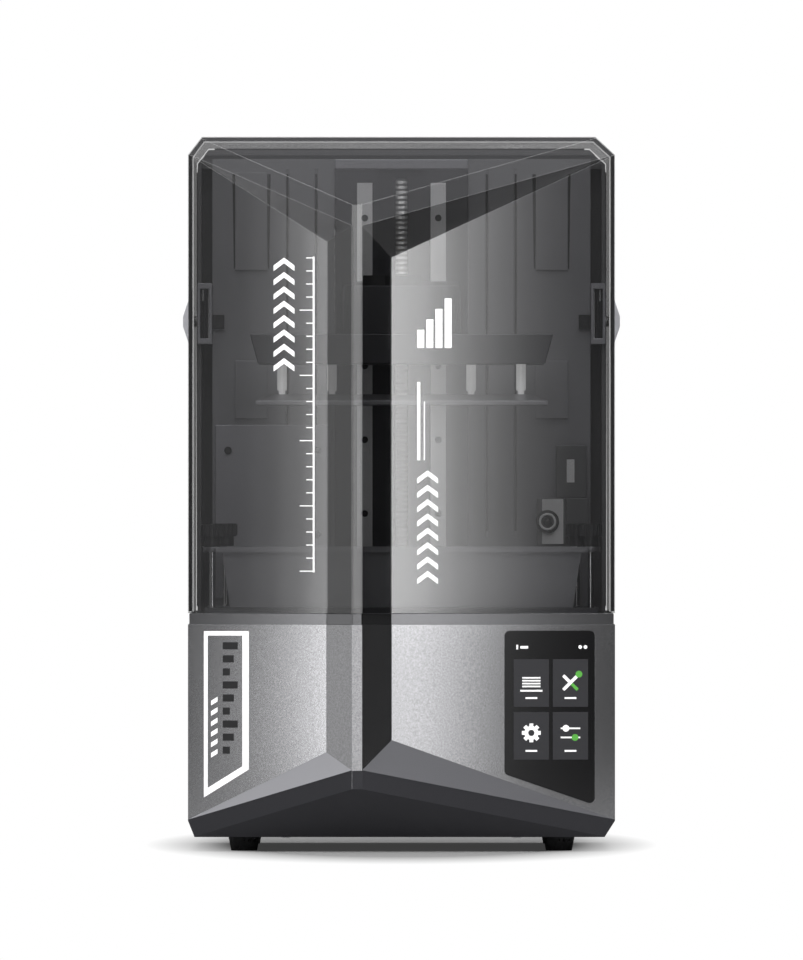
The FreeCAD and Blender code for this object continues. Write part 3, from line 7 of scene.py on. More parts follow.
import json
import math

import bpy
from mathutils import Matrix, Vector


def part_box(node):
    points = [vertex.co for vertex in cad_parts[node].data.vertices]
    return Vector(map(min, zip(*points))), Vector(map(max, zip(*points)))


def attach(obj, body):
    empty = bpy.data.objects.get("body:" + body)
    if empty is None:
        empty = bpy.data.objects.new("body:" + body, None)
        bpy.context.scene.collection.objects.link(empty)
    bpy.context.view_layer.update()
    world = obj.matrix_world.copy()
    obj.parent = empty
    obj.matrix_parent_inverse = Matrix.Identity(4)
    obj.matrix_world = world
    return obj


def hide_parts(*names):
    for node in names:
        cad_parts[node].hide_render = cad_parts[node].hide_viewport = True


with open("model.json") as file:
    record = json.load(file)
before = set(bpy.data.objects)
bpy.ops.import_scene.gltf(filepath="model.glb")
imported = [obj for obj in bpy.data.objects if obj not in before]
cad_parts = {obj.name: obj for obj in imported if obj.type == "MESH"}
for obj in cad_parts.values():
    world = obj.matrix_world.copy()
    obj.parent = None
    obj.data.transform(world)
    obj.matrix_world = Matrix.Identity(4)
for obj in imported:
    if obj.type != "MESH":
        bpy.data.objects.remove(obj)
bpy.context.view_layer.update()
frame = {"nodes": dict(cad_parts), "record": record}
nodes = frame["nodes"]
scene = bpy.context.scene
MM = 0.001
print("nodes in the frame:", len(nodes))

# %% [markdown]
# ## Materials
# Each finish is one Principled shader, with noise where the real surface has a grain. Picture textures
# could do this too, but noise on Object coordinates needs no file and doesn't slide when a piece moves.
# Two small functions come first: one turns an sRGB hex colour into linear values, the other adds a node
# with its settings and links.


# %% Colours and nodes
def linear(code):
    """An sRGB hex colour as linear RGBA."""
    values = [int(code[i : i + 2], 16) / 255 for i in (0, 2, 4)]
    return [v / 12.92 if v <= 0.04045 else ((v + 0.055) / 1.055) ** 2.4 for v in values] + [1.0]


def add(tree, kind, values=None, links=None, **settings):
    """A node with its settings, the values of its inputs, and the outputs that feed its inputs."""
    node = tree.nodes.new(kind)
    for name, setting in settings.items():
        setattr(node, name, setting)
    for socket, value in (values or {}).items():
        node.inputs[socket].default_value = value
    for socket, output in (links or {}).items():
        tree.links.new(output, node.inputs[socket])
    return node


def surface(name, colour, roughness, metallic=0.0, alpha=1.0, **more):
    """A plain Principled material. Further inputs are named with underscores for spaces."""
    material = bpy.data.materials.new(name)
    material.use_nodes = True
    shader = material.node_tree.nodes["Principled BSDF"]
    shader.inputs["Base Color"].default_value = linear(colour)
    shader.inputs["Roughness"].default_value = roughness
    shader.inputs["Metallic"].default_value = metallic
    shader.inputs["Alpha"].default_value = alpha
    for key, value in more.items():
        shader.inputs[key.replace("_", " ")].default_value = value
    return material


# %% [markdown]
# A sprayed or blasted surface isn't quite even. Its grain is a shallow bump from fine noise. Real grit is
# much finer than a pixel here, so the grains are drawn about a millimetre wide, as coarse as they need to
# be to show. Each width is written as one millimetre over the number of grains that fit into it.

# %% Grain and flecks
LACQUER_GRAIN = 1 / 1.4
METAL_GRAIN = 1 / 0.9
FLECK = 1 / 0.8
GRAIN_DEPTH = 0.4
NOISE_DETAIL = 2.0


def grain(material, size, strength):
    """A fine bump with grains of that size in millimetres."""
    tree = material.node_tree
    place = add(tree, "ShaderNodeTexCoord")
    values = {"Scale": 1 / (size * MM), "Detail": NOISE_DETAIL}
    noise = add(tree, "ShaderNodeTexNoise", values, {"Vector": place.outputs["Object"]})
    values = {"Strength": strength, "Distance": GRAIN_DEPTH * MM}
    bump = add(tree, "ShaderNodeBump", values, {"Height": noise.outputs["Fac"]})
    tree.links.new(bump.outputs["Normal"], tree.nodes["Principled BSDF"].inputs["Normal"])
    return material


def flecked(material, code, size, spread):
    """Light and dark flecks of that size in a colour, as from metal flakes in a lacquer."""
    tree = material.node_tree
    place = add(tree, "ShaderNodeTexCoord")
    values = {"Scale": 1 / (size * MM), "Detail": NOISE_DETAIL}
    noise = add(tree, "ShaderNodeTexNoise", values, {"Vector": place.outputs["Object"]})
    tones = add(tree, "ShaderNodeValToRGB", links={"Fac": noise.outputs["Fac"]})
    for end, position, share in ((0, 0.3, 1 - spread), (1, 0.7, 1 + spread)):
        stop = tones.color_ramp.elements[end]
        stop.position = position
        stop.color = [min(1.0, v * share) for v in linear(code)[:3]] + [1.0]
    tree.links.new(tones.outputs["Color"], tree.nodes["Principled BSDF"].inputs["Base Color"])
    return material


# %% [markdown]
# The base is moulded plastic under a sprayed metallic lacquer. It mirrors the studio softly, so one flat
# panel runs from dark to light, and its flakes give it a fine sparkle. A lower roughness would show the
# lamps' edges.

# %% Lacquers
LACQUER_GREY = "979799"
FLECK_SPREAD = 0.13
lacquer = grain(surface("metallic_lacquer", LACQUER_GREY, 0.11, 0.92), LACQUER_GRAIN, 0.02)
finish = {"base_grey": flecked(lacquer, LACQUER_GREY, FLECK, FLECK_SPREAD)}
# The belt under the lid has the same lacquer in a darker grey, without the sparkle.
finish["belt_grey"] = grain(surface("metallic_lacquer_dark", "727274", 0.14, 0.9), LACQUER_GRAIN, 0.02)
print("lacquers:", list(finish))

# %% [markdown]
# The lift and the vat are metal: anodised and blasted aluminium look grey and soft, blackened steel
# nearly black, and plated or ground steel bright. Most are less metallic here than in a handbook, because
# the dark room that the lid makes would leave a true mirror black.

# %% Metals
# Black oxide on steel: nearly black, with a dull gleam.
finish["dark_steel"] = surface("blackened_steel", "2E2E30", 0.45, 0.3)
# Plated steel: pale and bright, its mirror dulled by the plating.
finish["bright_steel"] = surface("plated_steel", "F4F4F6", 0.4, 0.1)
# Turned brass: yellow, with clear lights.
finish["brass_nut"] = surface("turned_brass", "B8954C", 0.35, 1.0)
# Anodised aluminium: soft greys with a fine grain. The vat is the paler one.
finish["dark_alu"] = grain(surface("anodised_aluminium_dark", "4A4A4E", 0.4, 0.6), METAL_GRAIN, 0.15)
finish["vat_alu"] = grain(surface("anodised_aluminium_vat", "8A8A8E", 0.38, 0.7), METAL_GRAIN, 0.15)
# Blasted aluminium: pale, with a stronger grain and no mirror.
finish["plate_alu"] = grain(surface("blasted_aluminium", "8E8E92", 0.45, 0.7), METAL_GRAIN, 0.2)
# Painted sheet: even and matt. The cover is a little paler than the panel.
finish["panel_grey"] = surface("painted_sheet_panel", "8E8E92", 0.5, 0.2)
finish["cover_grey"] = surface("painted_sheet_cover", "A8A8AE", 0.5, 0.2)
print("finishes so far:", len(finish))

# %% [markdown]
# Moulded plastics are matt and keep an even tone. Glass is dark where a screen lies behind it and clear
# elsewhere.

# %% Plastics, rubber and glass
# Moulded rubber: black without a gleam.
finish["rubber_black"] = surface("moulded_rubber", "262628", 0.7)
# Moulded ABS: even tones with a faint gleam, in black, grey and white.
finish["black_plastic"] = surface("moulded_abs_black", "232325", 0.42)
finish["housing_grey"] = surface("moulded_abs_grey", "6A6A6C", 0.5)
# The white also draws painted highlights: a ring in the camera's lens and a line in each hinge slot.
pale_plastic_and_highlight = surface("moulded_abs_white_and_highlight", "F2F2F4", 0.4)
# Moulded nylon, polished by fingers: a clearer gleam.
finish["knob_black"] = surface("moulded_nylon_black", "48484A", 0.3, 0.3)
# Solder mask on a circuit board: deep green, half gloss.
finish["board_green"] = surface("solder_mask_green", "1C5233", 0.5)
# Cover glass printed black behind is a dark mirror. Clear glass is mostly seen through.
finish["screen_glass"] = surface("cover_glass_black", "0B0B0D", 0.12)
finish["clear_glass"] = surface("clear_glass", "C8CDD0", 0.08, 0.0, 0.35)
print("finishes so far:", len(finish))

# %% [markdown]
# The lid is moulded from smoked acrylic. A shader with true refraction would be slow and would hide the
# lift, so the acrylic is a thin dark film that lets most of the view through and mirrors the lamps on top.
# Acrylic has an IOR of 1.49. It is raised here, because a wall has two sides and mirrors twice. Where the
# eye looks along a wall, or through more of it, a denser coat of the same acrylic is used.

# %% Smoked acrylic
finish["smoke_lid"] = surface("smoked_acrylic", "1A1A1C", 0.05, 0.0, 0.3, IOR=2.0, Specular_IOR_Level=1.0)
# Walls and roof seen along their length: dense, without a mirror.
smoke_side = surface("smoked_acrylic_side", "2A2A2C", 0.9, 0.0, 0.7, Specular_IOR_Level=0.0)
smoke_under = surface("smoked_acrylic_under_roof", "58585A", 0.9, 0.0, 0.6, Specular_IOR_Level=0.0)
# Painted shade on the facets that face away from the lamps: nearly black.
smoke_painted_shade = surface("smoked_acrylic_painted_shade", "0A0A0B", 0.08, 0.0, 0.62)
# Painted light on the faces above the folds, which meet the light from above: a paler smoke.
smoke_brow_lit = surface("smoked_acrylic_brow_painted_light", "6E6E70", 0.08, 0.0, 0.3)
smoke_roof_lit = surface("smoked_acrylic_roof_painted_light", "58585A", 0.08, 0.0, 0.34)
# The rounded folds: a thin pale line, a painted highlight.
smoke_fold_highlight = surface("smoked_acrylic_fold_painted_highlight", "E4E4E6", 0.3, 0.0, 0.8)
print("finishes:", len(finish))

# %% [markdown]
# Screen-printed ink is opaque and even. The white ink and the polished posts behind the lid have a little
# light of their own, because the studio leaves the lid dark and they are the brightest things there.

# %% Inks and bright posts
WHITE = (1, 1, 1, 1)
INK_GLOW = 0.35
POST_GLOW = 0.3
# The white ink also draws the painted highlight along the lid's edge.
white_print_and_highlight = surface("white_ink_and_highlight", "F4F4F4", 0.45, Emission_Color=WHITE, Emission_Strength=INK_GLOW)
# The black ink also paints shade in the hinge slots and on the back panel.
black_print_and_shade = surface("black_ink_and_shade", "161618", 0.45)
green_print = surface("green_ink", "62C04A", 0.45)
tile_print = surface("tile_ink", "2C2C30", 0.3)
# Polished steel is bright, chrome a clear mirror, and ground steel a mirror blurred by the wheel.
polished = surface("polished_steel", "F6F6F8", 0.2, 0.2, Emission_Color=WHITE, Emission_Strength=POST_GLOW)
chrome = surface("chrome_plated_steel", "F0F0F2", 0.12, 1.0)
rail_steel = surface("ground_steel", "E4E4E6", 0.3, 0.6)
print("materials:", len(bpy.data.materials))

# %% [markdown]
# The lead screw has a rolled thread. Modelling its helix would cost many faces for a piece a few pixels
# wide, so a band pattern along Z stands for the turns. A wave texture of scale 1 has 20 radians to the
# metre, which gives its scale from the thread's pitch.

# %% Thread on the lead screw
THREAD_PITCH = 3.927
THREAD_DEPTH = 2
WAVE_RADIANS = 20
thread_scale = 2 * math.pi / (WAVE_RADIANS * THREAD_PITCH * MM)
thread = surface("rolled_thread_steel", "E0E0E0", 0.35, 0.5)
tree = thread.node_tree
place = add(tree, "ShaderNodeTexCoord")
links = {"Vector": place.outputs["Object"]}
wave = add(tree, "ShaderNodeTexWave", {"Scale": thread_scale}, links, bands_direction="Z")
values = {"Strength": 1.0, "Distance": THREAD_DEPTH * MM}
bump = add(tree, "ShaderNodeBump", values, {"Height": wave.outputs["Fac"]})
tree.links.new(bump.outputs["Normal"], tree.nodes["Principled BSDF"].inputs["Normal"])
print("thread scale:", round(thread_scale, 2))

# %% [markdown]
# ## Finish and edges of the model's own pieces
# No moulded or machined edge is perfectly sharp. A narrow bevel catches the light there. The model's
# meshes are loose triangles, so a weld and a dissolve come before the bevel. All three stay modifiers,
# because the meshes of the model aren't changed.

# %% Soft edges
WELD_REACH = 0.01
FLAT_ANGLE = math.radians(1)
EDGE_ANGLE = math.radians(12)


def soften(piece, width):
    """Welded corners, one face per flat side, and a narrow bevel."""
    weld = piece.modifiers.new("weld", "WELD")
    weld.merge_threshold = WELD_REACH * MM
    flat = piece.modifiers.new("flat", "DECIMATE")
    flat.decimate_type = "DISSOLVE"
    flat.angle_limit = FLAT_ANGLE
    bevel = piece.modifiers.new("bevel", "BEVEL")
    bevel.width = width
    bevel.segments = 2
    bevel.limit_method = "ANGLE"
    bevel.angle_limit = EDGE_ANGLE
    bevel.harden_normals = True


# %% Dress the model's pieces
MOULDED_EDGE = 0.8
MOULDED = ["lift_arm", "vat_body", "camera_housing", "camera_arm", "chamber_lamp", "hinge_boxes"]
MOULDED += ["hinge_caps", "carriage_plate", "rail_blocks", "column_cap", "service_cover", "rubber_feet"]
MOULDED += ["back_panel"]
edge_width = dict.fromkeys(MOULDED, MOULDED_EDGE)
edge_width.update({"platform_tray": 1.0, "build_plate": 0.5})
for part in frame["record"]["subparts"]:
    piece = nodes[part["node"]]
    piece.data.materials.clear()
    piece.data.materials.append(finish[part["material_slot"]])
    if part["node"] in edge_width:
        soften(piece, edge_width[part["node"]] * MM)
print("pieces with soft edges:", len(edge_width))

# %% [markdown]
# A few pieces differ from the rest of their slot: screws are blackened, posts are polished or chromed,
# rails are ground, the camera matches the housing, and the hinges match the sheet metal.

# %% Pieces with a finish of their own
OWN_FINISH = {
    "lead_screw": thread,
    "cover_screws": finish["dark_steel"],
    "hinge_dampers": finish["dark_steel"],
    "camera_housing": finish["housing_grey"],
    "camera_arm": finish["housing_grey"],
    "chamber_lamp": finish["housing_grey"],
    "hinge_caps": finish["cover_grey"],
    "hinge_boxes": finish["cover_grey"],
    "level_posts": polished,
    "vat_posts": chrome,
    "left_rail": rail_steel,
    "right_rail": rail_steel,
}
for node, material in OWN_FINISH.items():
    nodes[node].data.materials[0] = material
print("pieces with a finish of their own:", len(OWN_FINISH))

# %% [markdown]
# The base, its belt and the lid are shells with folded faces. Each face needs a coat of its own, and
# coats go on faces, so a copy of each shell takes its place. The modifiers are applied to the copy, which
# leaves one face for each flat side.


# %% Folded shells
def recast(node, body, width):
    """A copy of a folded shell with flat facets and narrow bevels, in the place of the model's piece."""
    bpy.ops.object.select_all(action="DESELECT")
    piece = bpy.data.objects.new(node + "_folded", nodes[node].data.copy())
    scene.collection.objects.link(piece)
    piece.select_set(True)
    bpy.context.view_layer.objects.active = piece
    bpy.ops.mesh.customdata_custom_splitnormals_clear()
    soften(piece, width)
    for modifier in ("weld", "flat", "bevel"):
        bpy.ops.object.modifier_apply(modifier=modifier)
    bpy.ops.object.shade_flat()
    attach(piece, body)
    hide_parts(node)
    print(piece.name, "faces:", len(piece.data.polygons))
    return piece


SHELL_EDGE = 0.6
BELT_EDGE = 0.3
base = recast("base_shell", "base", SHELL_EDGE * MM)
recast("deck_tray", "base", BELT_EDGE * MM)
lid = recast("lid_shell", "lid", SHELL_EDGE * MM)

# %% [markdown]
# ## Coats on the folded base
# Below the folds the base has a darker keel, and narrow shelves lie between keel and panels. The keel's
# coat also lies on the faces that point down and forward, as painted shade, and the shelves get painted
# light at the left and painted shade at the right. They are told apart by the way each face points and by
# its place, as one would pick them by hand in edit mode.


# %% Keel and shelves of the base
def coats(piece, *materials):
    """Adds materials to a piece and gives the number of the slot of each."""
    first = len(piece.data.materials)
    for material in materials:
        piece.data.materials.append(material)
    return range(first, len(piece.data.materials))


# The keel's dark coat is also painted shade on the faces that point down and forward.
keel_coat_and_shade = grain(surface("textured_lacquer_keel_and_shade", "3C3C40", 0.4, 0.6), LACQUER_GRAIN, 0.25)
# Painted shade on the right shelf and painted light on the left one, which are the same lacquer.
shelf_painted_shade = grain(surface("textured_lacquer_shelf_painted_shade", "4C4C50", 0.5, 0.4), LACQUER_GRAIN, 0.25)
shelf_painted_light = surface("matt_lacquer_shelf_painted_light", "8A8A8E", 0.5, 0.1)
KEEL, SHELF_RIGHT, SHELF_LEFT = coats(base, keel_coat_and_shade, shelf_painted_shade, shelf_painted_light)
FACING = 0.5
SLANT = 0.3
LEAN = 0.2
KEEL_TOP = 62 * MM
KEEL_FRONT = -130 * MM
UNDER_FRONT = -100 * MM
CREST_END = -30 * MM
SHELF_TOP = 100 * MM


def base_coat(face):
    """The slot of the coat on one face of the base."""
    out, centre = face.normal, face.center
    if out.y < -FACING and abs(out.z) < LEAN and centre.z < KEEL_TOP and centre.y < KEEL_FRONT:
        return KEEL
    if out.z < -SLANT and out.y < -SLANT and centre.y < UNDER_FRONT:
        return KEEL
    if out.z > SLANT and out.y < -LEAN and centre.x > CREST_END:
        return SHELF_RIGHT
    if out.z > SLANT and out.y < -LEAN and centre.z < SHELF_TOP:
        return SHELF_LEFT
    return 0


for face in base.data.polygons:
    face.material_index = base_coat(face)
print("coated faces of the base:", sum(face.material_index > 0 for face in base.data.polygons))

# %% [markdown]
# ## Coats on the lid
# The lid's side walls and the underside of its roof are seen along their length and look dense. Its
# narrow inner facet, right of the crest, and the faces high at the right that point down get painted
# shade, the darkest part of the front. The faces above the folds get painted light, and the bevels along
# the folds a painted highlight.

# %% Lid facets
SIDE, SHADED, BROW, ROOF, FOLD, UNDER = coats(
    lid, smoke_side, smoke_painted_shade, smoke_brow_lit, smoke_roof_lit, smoke_fold_highlight, smoke_under
)
SIDEWAYS = 0.95
DIAGONAL = 0.7
SLIGHT = 0.1
WIDEST_FOLD = 0.8 * MM
SHORTEST_FOLD = 50 * MM
LID_FRONT = -100 * MM
INNER_FACET_FRONT = -120 * MM
SHADED_FOOT = 450 * MM
BROW_FOOT = 480 * MM
ROOF_FOOT = 500 * MM
BROW_AREA = 0.02


def lid_coat(face):
    """The slot of the coat on one face of the lid."""
    out, centre = face.normal, face.center
    corners = [lid.data.vertices[i].co for i in face.vertices]
    reach = max((a - b).length for a in corners for b in corners)
    front = out.y < -SLIGHT and centre.y < LID_FRONT
    upright = abs(out.z) < SLIGHT
    if out.x * centre.x < 0 and abs(out.x) > SIDEWAYS:
        return SIDE
    if abs(out.y) < SLIGHT and out.z < -FACING:
        return UNDER
    if front and face.area < reach * WIDEST_FOLD and reach > SHORTEST_FOLD:
        return FOLD
    # Painted shade on the faces high at the right that point down, and on the narrow inner facet.
    if front and out.z < -SLIGHT and centre.z > SHADED_FOOT and centre.x > 0:
        return SHADED
    if upright and abs(out.x - DIAGONAL) < SLIGHT and centre.y < INNER_FACET_FRONT:
        return SHADED
    if front and out.z > SLANT and centre.z > ROOF_FOOT:
        return ROOF
    if front and upright and centre.z > BROW_FOOT and face.area < BROW_AREA:
        return BROW
    return 0


for face in lid.data.polygons:
    face.material_index = lid_coat(face)
print("coated faces of the lid:", sum(face.material_index > 0 for face in lid.data.polygons))

# %% [markdown]
# ## Printed designs
# Prints on the lid and the base are thin films of ink. A picture texture would need a file, so each print
# is a flat mesh that stands a hair in front of its panel. A place on a panel is given by X and Z in
# millimetres, and the panel's line, seen from above, gives the depth.

# %% Panels of the folded front
BODY_SIDE = 163.7
CORNER_Y = -137.0
FRONT = {
    "left": (Vector((-BODY_SIDE, CORNER_Y, 0)), Vector((-57.6, -146.5, 0))),
    "right": (Vector((-7.5, -142.6, 0)), Vector((BODY_SIDE, CORNER_Y, 0))),
}


def on_panel(panel, x, z, lift):
    """A point in front of a panel, in metres."""
    start, end = FRONT[panel]
    run = end - start
    out = Vector((run.y, -run.x, 0)).normalized()
    return (start + run * ((x - start.x) / run.x) + Vector((0, 0, z)) + out * lift) * MM


# %% Films of ink
INK_LIFT = 0.25


def film(name, points, faces, material, body):
    """A thin piece from points in metres, fixed to a body."""
    mesh = bpy.data.meshes.new(name)
    mesh.from_pydata(points, [], faces)
    mesh.update()
    piece = bpy.data.objects.new(name, mesh)
    scene.collection.objects.link(piece)
    mesh.materials.append(material)
    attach(piece, body)
    print(name, "faces:", len(faces))


def printed(name, panel, shapes, material, lift, body):
    """One piece from several flat outlines on a panel."""
    points = []
    faces = []
    for outline in shapes:
        first = len(points)
        points += [on_panel(panel, x, z, lift) for x, z in outline]
        faces.append(list(range(first, len(points))))
    film(name, points, faces, material, body)


# %% Shapes to print
def bar(x0, z0, x1, z1):
    """An upright rectangle between two corners."""
    return [(x0, z0), (x1, z0), (x1, z1), (x0, z1)]


def line(x0, z0, x1, z1, width):
    """A straight stroke between two points."""
    along = Vector((x1 - x0, z1 - z0)).normalized() * (width / 2)
    side = Vector((-along.y, along.x))
    start = [(x0 + side.x, z0 + side.y), (x0 - side.x, z0 - side.y)]
    return start + [(x1 - side.x, z1 - side.y), (x1 + side.x, z1 + side.y)]


def disc(x, z, radius, count=20):
    """A round spot."""
    turns = [2 * math.pi * i / count for i in range(count)]
    return [(x + radius * math.cos(turn), z + radius * math.sin(turn)) for turn in turns]


# %% [markdown]
# On the lid are a height scale with ticks at the left, and bars and a stack of chevrons at the right. A
# chevron is two slanted strokes that meet in the middle.

# %% Chevrons
ARROWS = 8
ARROW_STEP = 11
ARROW_HALF = 8
ARROW_RISE = 6
ARROW_THICK = 4.2


def chevron(x, z):
    """An upward arrow stroke in two halves."""
    left, right, tip = x - ARROW_HALF, x + ARROW_HALF, z + ARROW_RISE
    return [
        [(left, z), (x, tip), (x, tip + ARROW_THICK), (left, z + ARROW_THICK)],
        [(x, tip), (right, z), (right, z + ARROW_THICK), (x, tip + ARROW_THICK)],
    ]


def arrow_stack(x, z):
    """Chevrons one above another, from a lowest place."""
    return [half for step in range(ARROWS) for half in chevron(x, z + ARROW_STEP * step)]


# %% Height scale at the left of the lid
SCALE_X = -68
SCALE_WIDTH = 1.4
SCALE_FOOT, SCALE_TOP = 214, 456
FIRST_TICK = 215
TICKS = 25
TICK_STEP = 10
TICK_STROKE = 0.8
LONG_TICK = 10
SHORT_TICK = 5
scale_design = [bar(SCALE_X, SCALE_FOOT, SCALE_X + SCALE_WIDTH, SCALE_TOP)]
for step in range(TICKS):
    z = FIRST_TICK + TICK_STEP * step
    length = LONG_TICK if step % 5 == 0 else SHORT_TICK
    scale_design.append(line(SCALE_X, z, SCALE_X - length, z, TICK_STROKE))
scale_design += arrow_stack(-90, 368)
printed("lid_print_left", "left", scale_design, white_print_and_highlight, INK_LIFT, "lid")

# %% Bars and chevrons at the right of the lid
BAR_X = 12
BAR_STEP = 7
BAR_WIDTH = 5.4
BAR_FOOT = 386
bar_design = [bar(BAR_X, 300, BAR_X + 2.4, 360), bar(BAR_X + 5, 300, BAR_X + 6, 345)]
bar_design += arrow_stack(20, 205)
for step, height in enumerate((14, 22, 30, 38)):
    x = BAR_X + BAR_STEP * step
    bar_design.append(bar(x, BAR_FOOT, x + BAR_WIDTH, BAR_FOOT + height))
printed("lid_print_right", "right", bar_design, white_print_and_highlight, INK_LIFT, "lid")

# %% [markdown]
# On the base is a plain framed plate, slanted at its foot like the fold below it, with a column of dark
# bars and a column of slanted marks inside.

# %% Framed plate on the base
PLATE_LEFT, PLATE_RIGHT = -151.5, -117
PLATE_TOP = 169
PLATE_FOOT = 47
RIGHT_BAR = PLATE_RIGHT - 5
TOP_BAR = PLATE_TOP - 3.4
MARK_LEFT, MARK_RIGHT = -146, -141
MARKS = 6
MARK_STEP = 8
plate = [
    [(PLATE_LEFT, 41.5), (PLATE_RIGHT, 63), (PLATE_RIGHT, 68.5), (PLATE_LEFT, PLATE_FOOT)],
    bar(RIGHT_BAR, 65.4, PLATE_RIGHT, PLATE_TOP),
    bar(PLATE_LEFT, TOP_BAR, RIGHT_BAR, PLATE_TOP),
    bar(PLATE_LEFT, PLATE_FOOT, PLATE_LEFT + 3, TOP_BAR),
]
for step in range(MARKS):
    z = 72 + MARK_STEP * step
    plate.append([(MARK_LEFT, z), (MARK_RIGHT, z + 3.1), (MARK_RIGHT, z + 6.7), (MARK_LEFT, z + 3.6)])
printed("base_print_white", "left", plate, white_print_and_highlight, INK_LIFT, "base")

# %% Dark bars on the plate
STRIPES = 9
STRIPE_STEP = 10
STRIPE_THICK = 5.5
stripes = []
for step in range(STRIPES):
    foot = 155 - STRIPE_STEP * step
    stripes.append(bar(-137, foot, -125.5 - 3 * (step % 3), foot + STRIPE_THICK))
printed("base_print_black", "left", stripes, black_print_and_shade, INK_LIFT, "base")

# %% [markdown]
# The keel's dark coat runs on over the crest, where the fold leaves one narrow face of the panel's
# colour.

# %% Coat of the keel across the crest
CREST_Y = -164.72
crest = [Vector((x, CREST_Y, z)) * MM for x, z in bar(-37.8, 48.3, -29.6, 62.4)]
film("keel_crest", crest, [(0, 1, 2, 3)], keel_coat_and_shade, "base")

# %% [markdown]
# ## Touch screen
# The screen shows four dark tiles with plain pictures: a layered print, tools, a gear and sliders. They
# lie on the glass in thin layers, tiles first, so that no two films share a plane.

# %% Screen tiles
GLASS_FRONT = 0.5
TILE_WIDTH = 27
TILE_HEIGHT = 36.5
COLUMNS = (86, 116)
ROWS = (111, 70.5)
TILES = [(x, z) for z in ROWS for x in COLUMNS]
tiles = [bar(x, z, x + TILE_WIDTH, z + TILE_HEIGHT) for x, z in TILES]
printed("screen_tiles", "right", tiles, tile_print, GLASS_FRONT + 0.1, "base")

# %% Layers and tools
LAYERS = 4
LAYER_STEP = 2.2
TOOL_STROKE = 2.4
DOT = 2.6
icons = [bar(92.5, 126 + LAYER_STEP * step, 106.5, 127.2 + LAYER_STEP * step) for step in range(LAYERS)]
icons.append(bar(91, 122.6, 108, 124))
icons += [line(124, 124, 135, 135, TOOL_STROKE), line(124, 135, 128.5, 130.5, TOOL_STROKE)]
accents = [line(130.5, 128.5, 135, 124, TOOL_STROKE), disc(136, 136, DOT)]
print("shapes so far:", len(icons) + len(accents))

# %% Gear and sliders
GEAR_X, GEAR_Z = 99.5, 91
TEETH = 8
TOOTH_START, TOOTH_END, TOOTH_STROKE = 3, 7.2, 3
GEAR_DISC, GEAR_HOLE = 5.4, 2.4
SLIDE_STROKE = 1.2
for step in range(TEETH):
    turn = 2 * math.pi * step / TEETH
    across, up = math.cos(turn), math.sin(turn)
    root = (GEAR_X + TOOTH_START * across, GEAR_Z + TOOTH_START * up)
    tip = (GEAR_X + TOOTH_END * across, GEAR_Z + TOOTH_END * up)
    icons.append(line(*root, *tip, TOOTH_STROKE))
icons.append(disc(GEAR_X, GEAR_Z, GEAR_DISC))
icons += [line(122, z, 137, z, SLIDE_STROKE) for z in (94.5, 87.5)] + [disc(126, 94.5, DOT)]
accents.append(disc(133, 87.5, DOT))
print("shapes so far:", len(icons) + len(accents))

# %% Captions and status marks
STATUS_DOT = 1.4
icons += [bar(x + 9, z + 6, x + 18, z + 7.4) for x, z in TILES]
icons += [bar(88, 155, 89.4, 158.5), bar(91, 155.6, 97, 157.6)]
icons += [disc(x, 156.8, STATUS_DOT) for x in (137, 141)]
printed("screen_icons", "right", icons, white_print_and_highlight, GLASS_FRONT + 0.2, "base")
printed("screen_accents", "right", accents, green_print, GLASS_FRONT + 0.25, "base")
hole = [disc(GEAR_X, GEAR_Z, GEAR_HOLE)]
printed("screen_gear_hole", "right", hole, tile_print, GLASS_FRONT + 0.3, "base")

# %% [markdown]
# ## Camera and lamp
# A small camera watches the print. It has a pale face, a dark ring round its lens with a pale ring inside
# it that is a painted highlight, and a glass dome. The lamp above it has a pale window. Their places are
# measured from the model's own boxes, apart from the window's place on the lamp's front.


# %% Small fittings
def ride_on(name, body, material):
    """Names the object just made, gives it a material and fixes it to a body."""
    piece = bpy.context.object
    piece.name = name
    bpy.ops.object.transform_apply(location=True, rotation=True, scale=True)
    piece.data.materials.append(material)
    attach(piece, body)
    print(name, "on", body)


def block(name, place, size, body, material):
    """A block of that size round a place, fixed to a body."""
    bpy.ops.object.select_all(action="DESELECT")
    bpy.ops.mesh.primitive_cube_add(size=1, location=place, scale=size)
    ride_on(name, body, material)


# %% Camera face
FACE_THICK = 0.6 * MM
FACE_SHIFT = 1 * MM
FACE_MARGIN_X = 6 * MM
FACE_MARGIN_Z = 2 * MM
camera_low, camera_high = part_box("camera_housing")
camera_x = (camera_low[0] + camera_high[0]) / 2
camera_z = (camera_low[2] + camera_high[2]) / 2
face_width = camera_high[0] - camera_low[0] - FACE_MARGIN_X
face_height = camera_high[2] - camera_low[2] - FACE_MARGIN_Z
face_place = (camera_x + FACE_SHIFT, camera_low[1] - FACE_THICK / 2, camera_z)
block("camera_face", face_place, (face_width, FACE_THICK, face_height), "base", pale_plastic_and_highlight)

# %% Lens rings and dome
lens_low, lens_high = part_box("camera_lens")
lens_x = (lens_low[0] + lens_high[0]) / 2
lens_z = (lens_low[2] + lens_high[2]) / 2
QUARTER_TURN = math.radians(90)
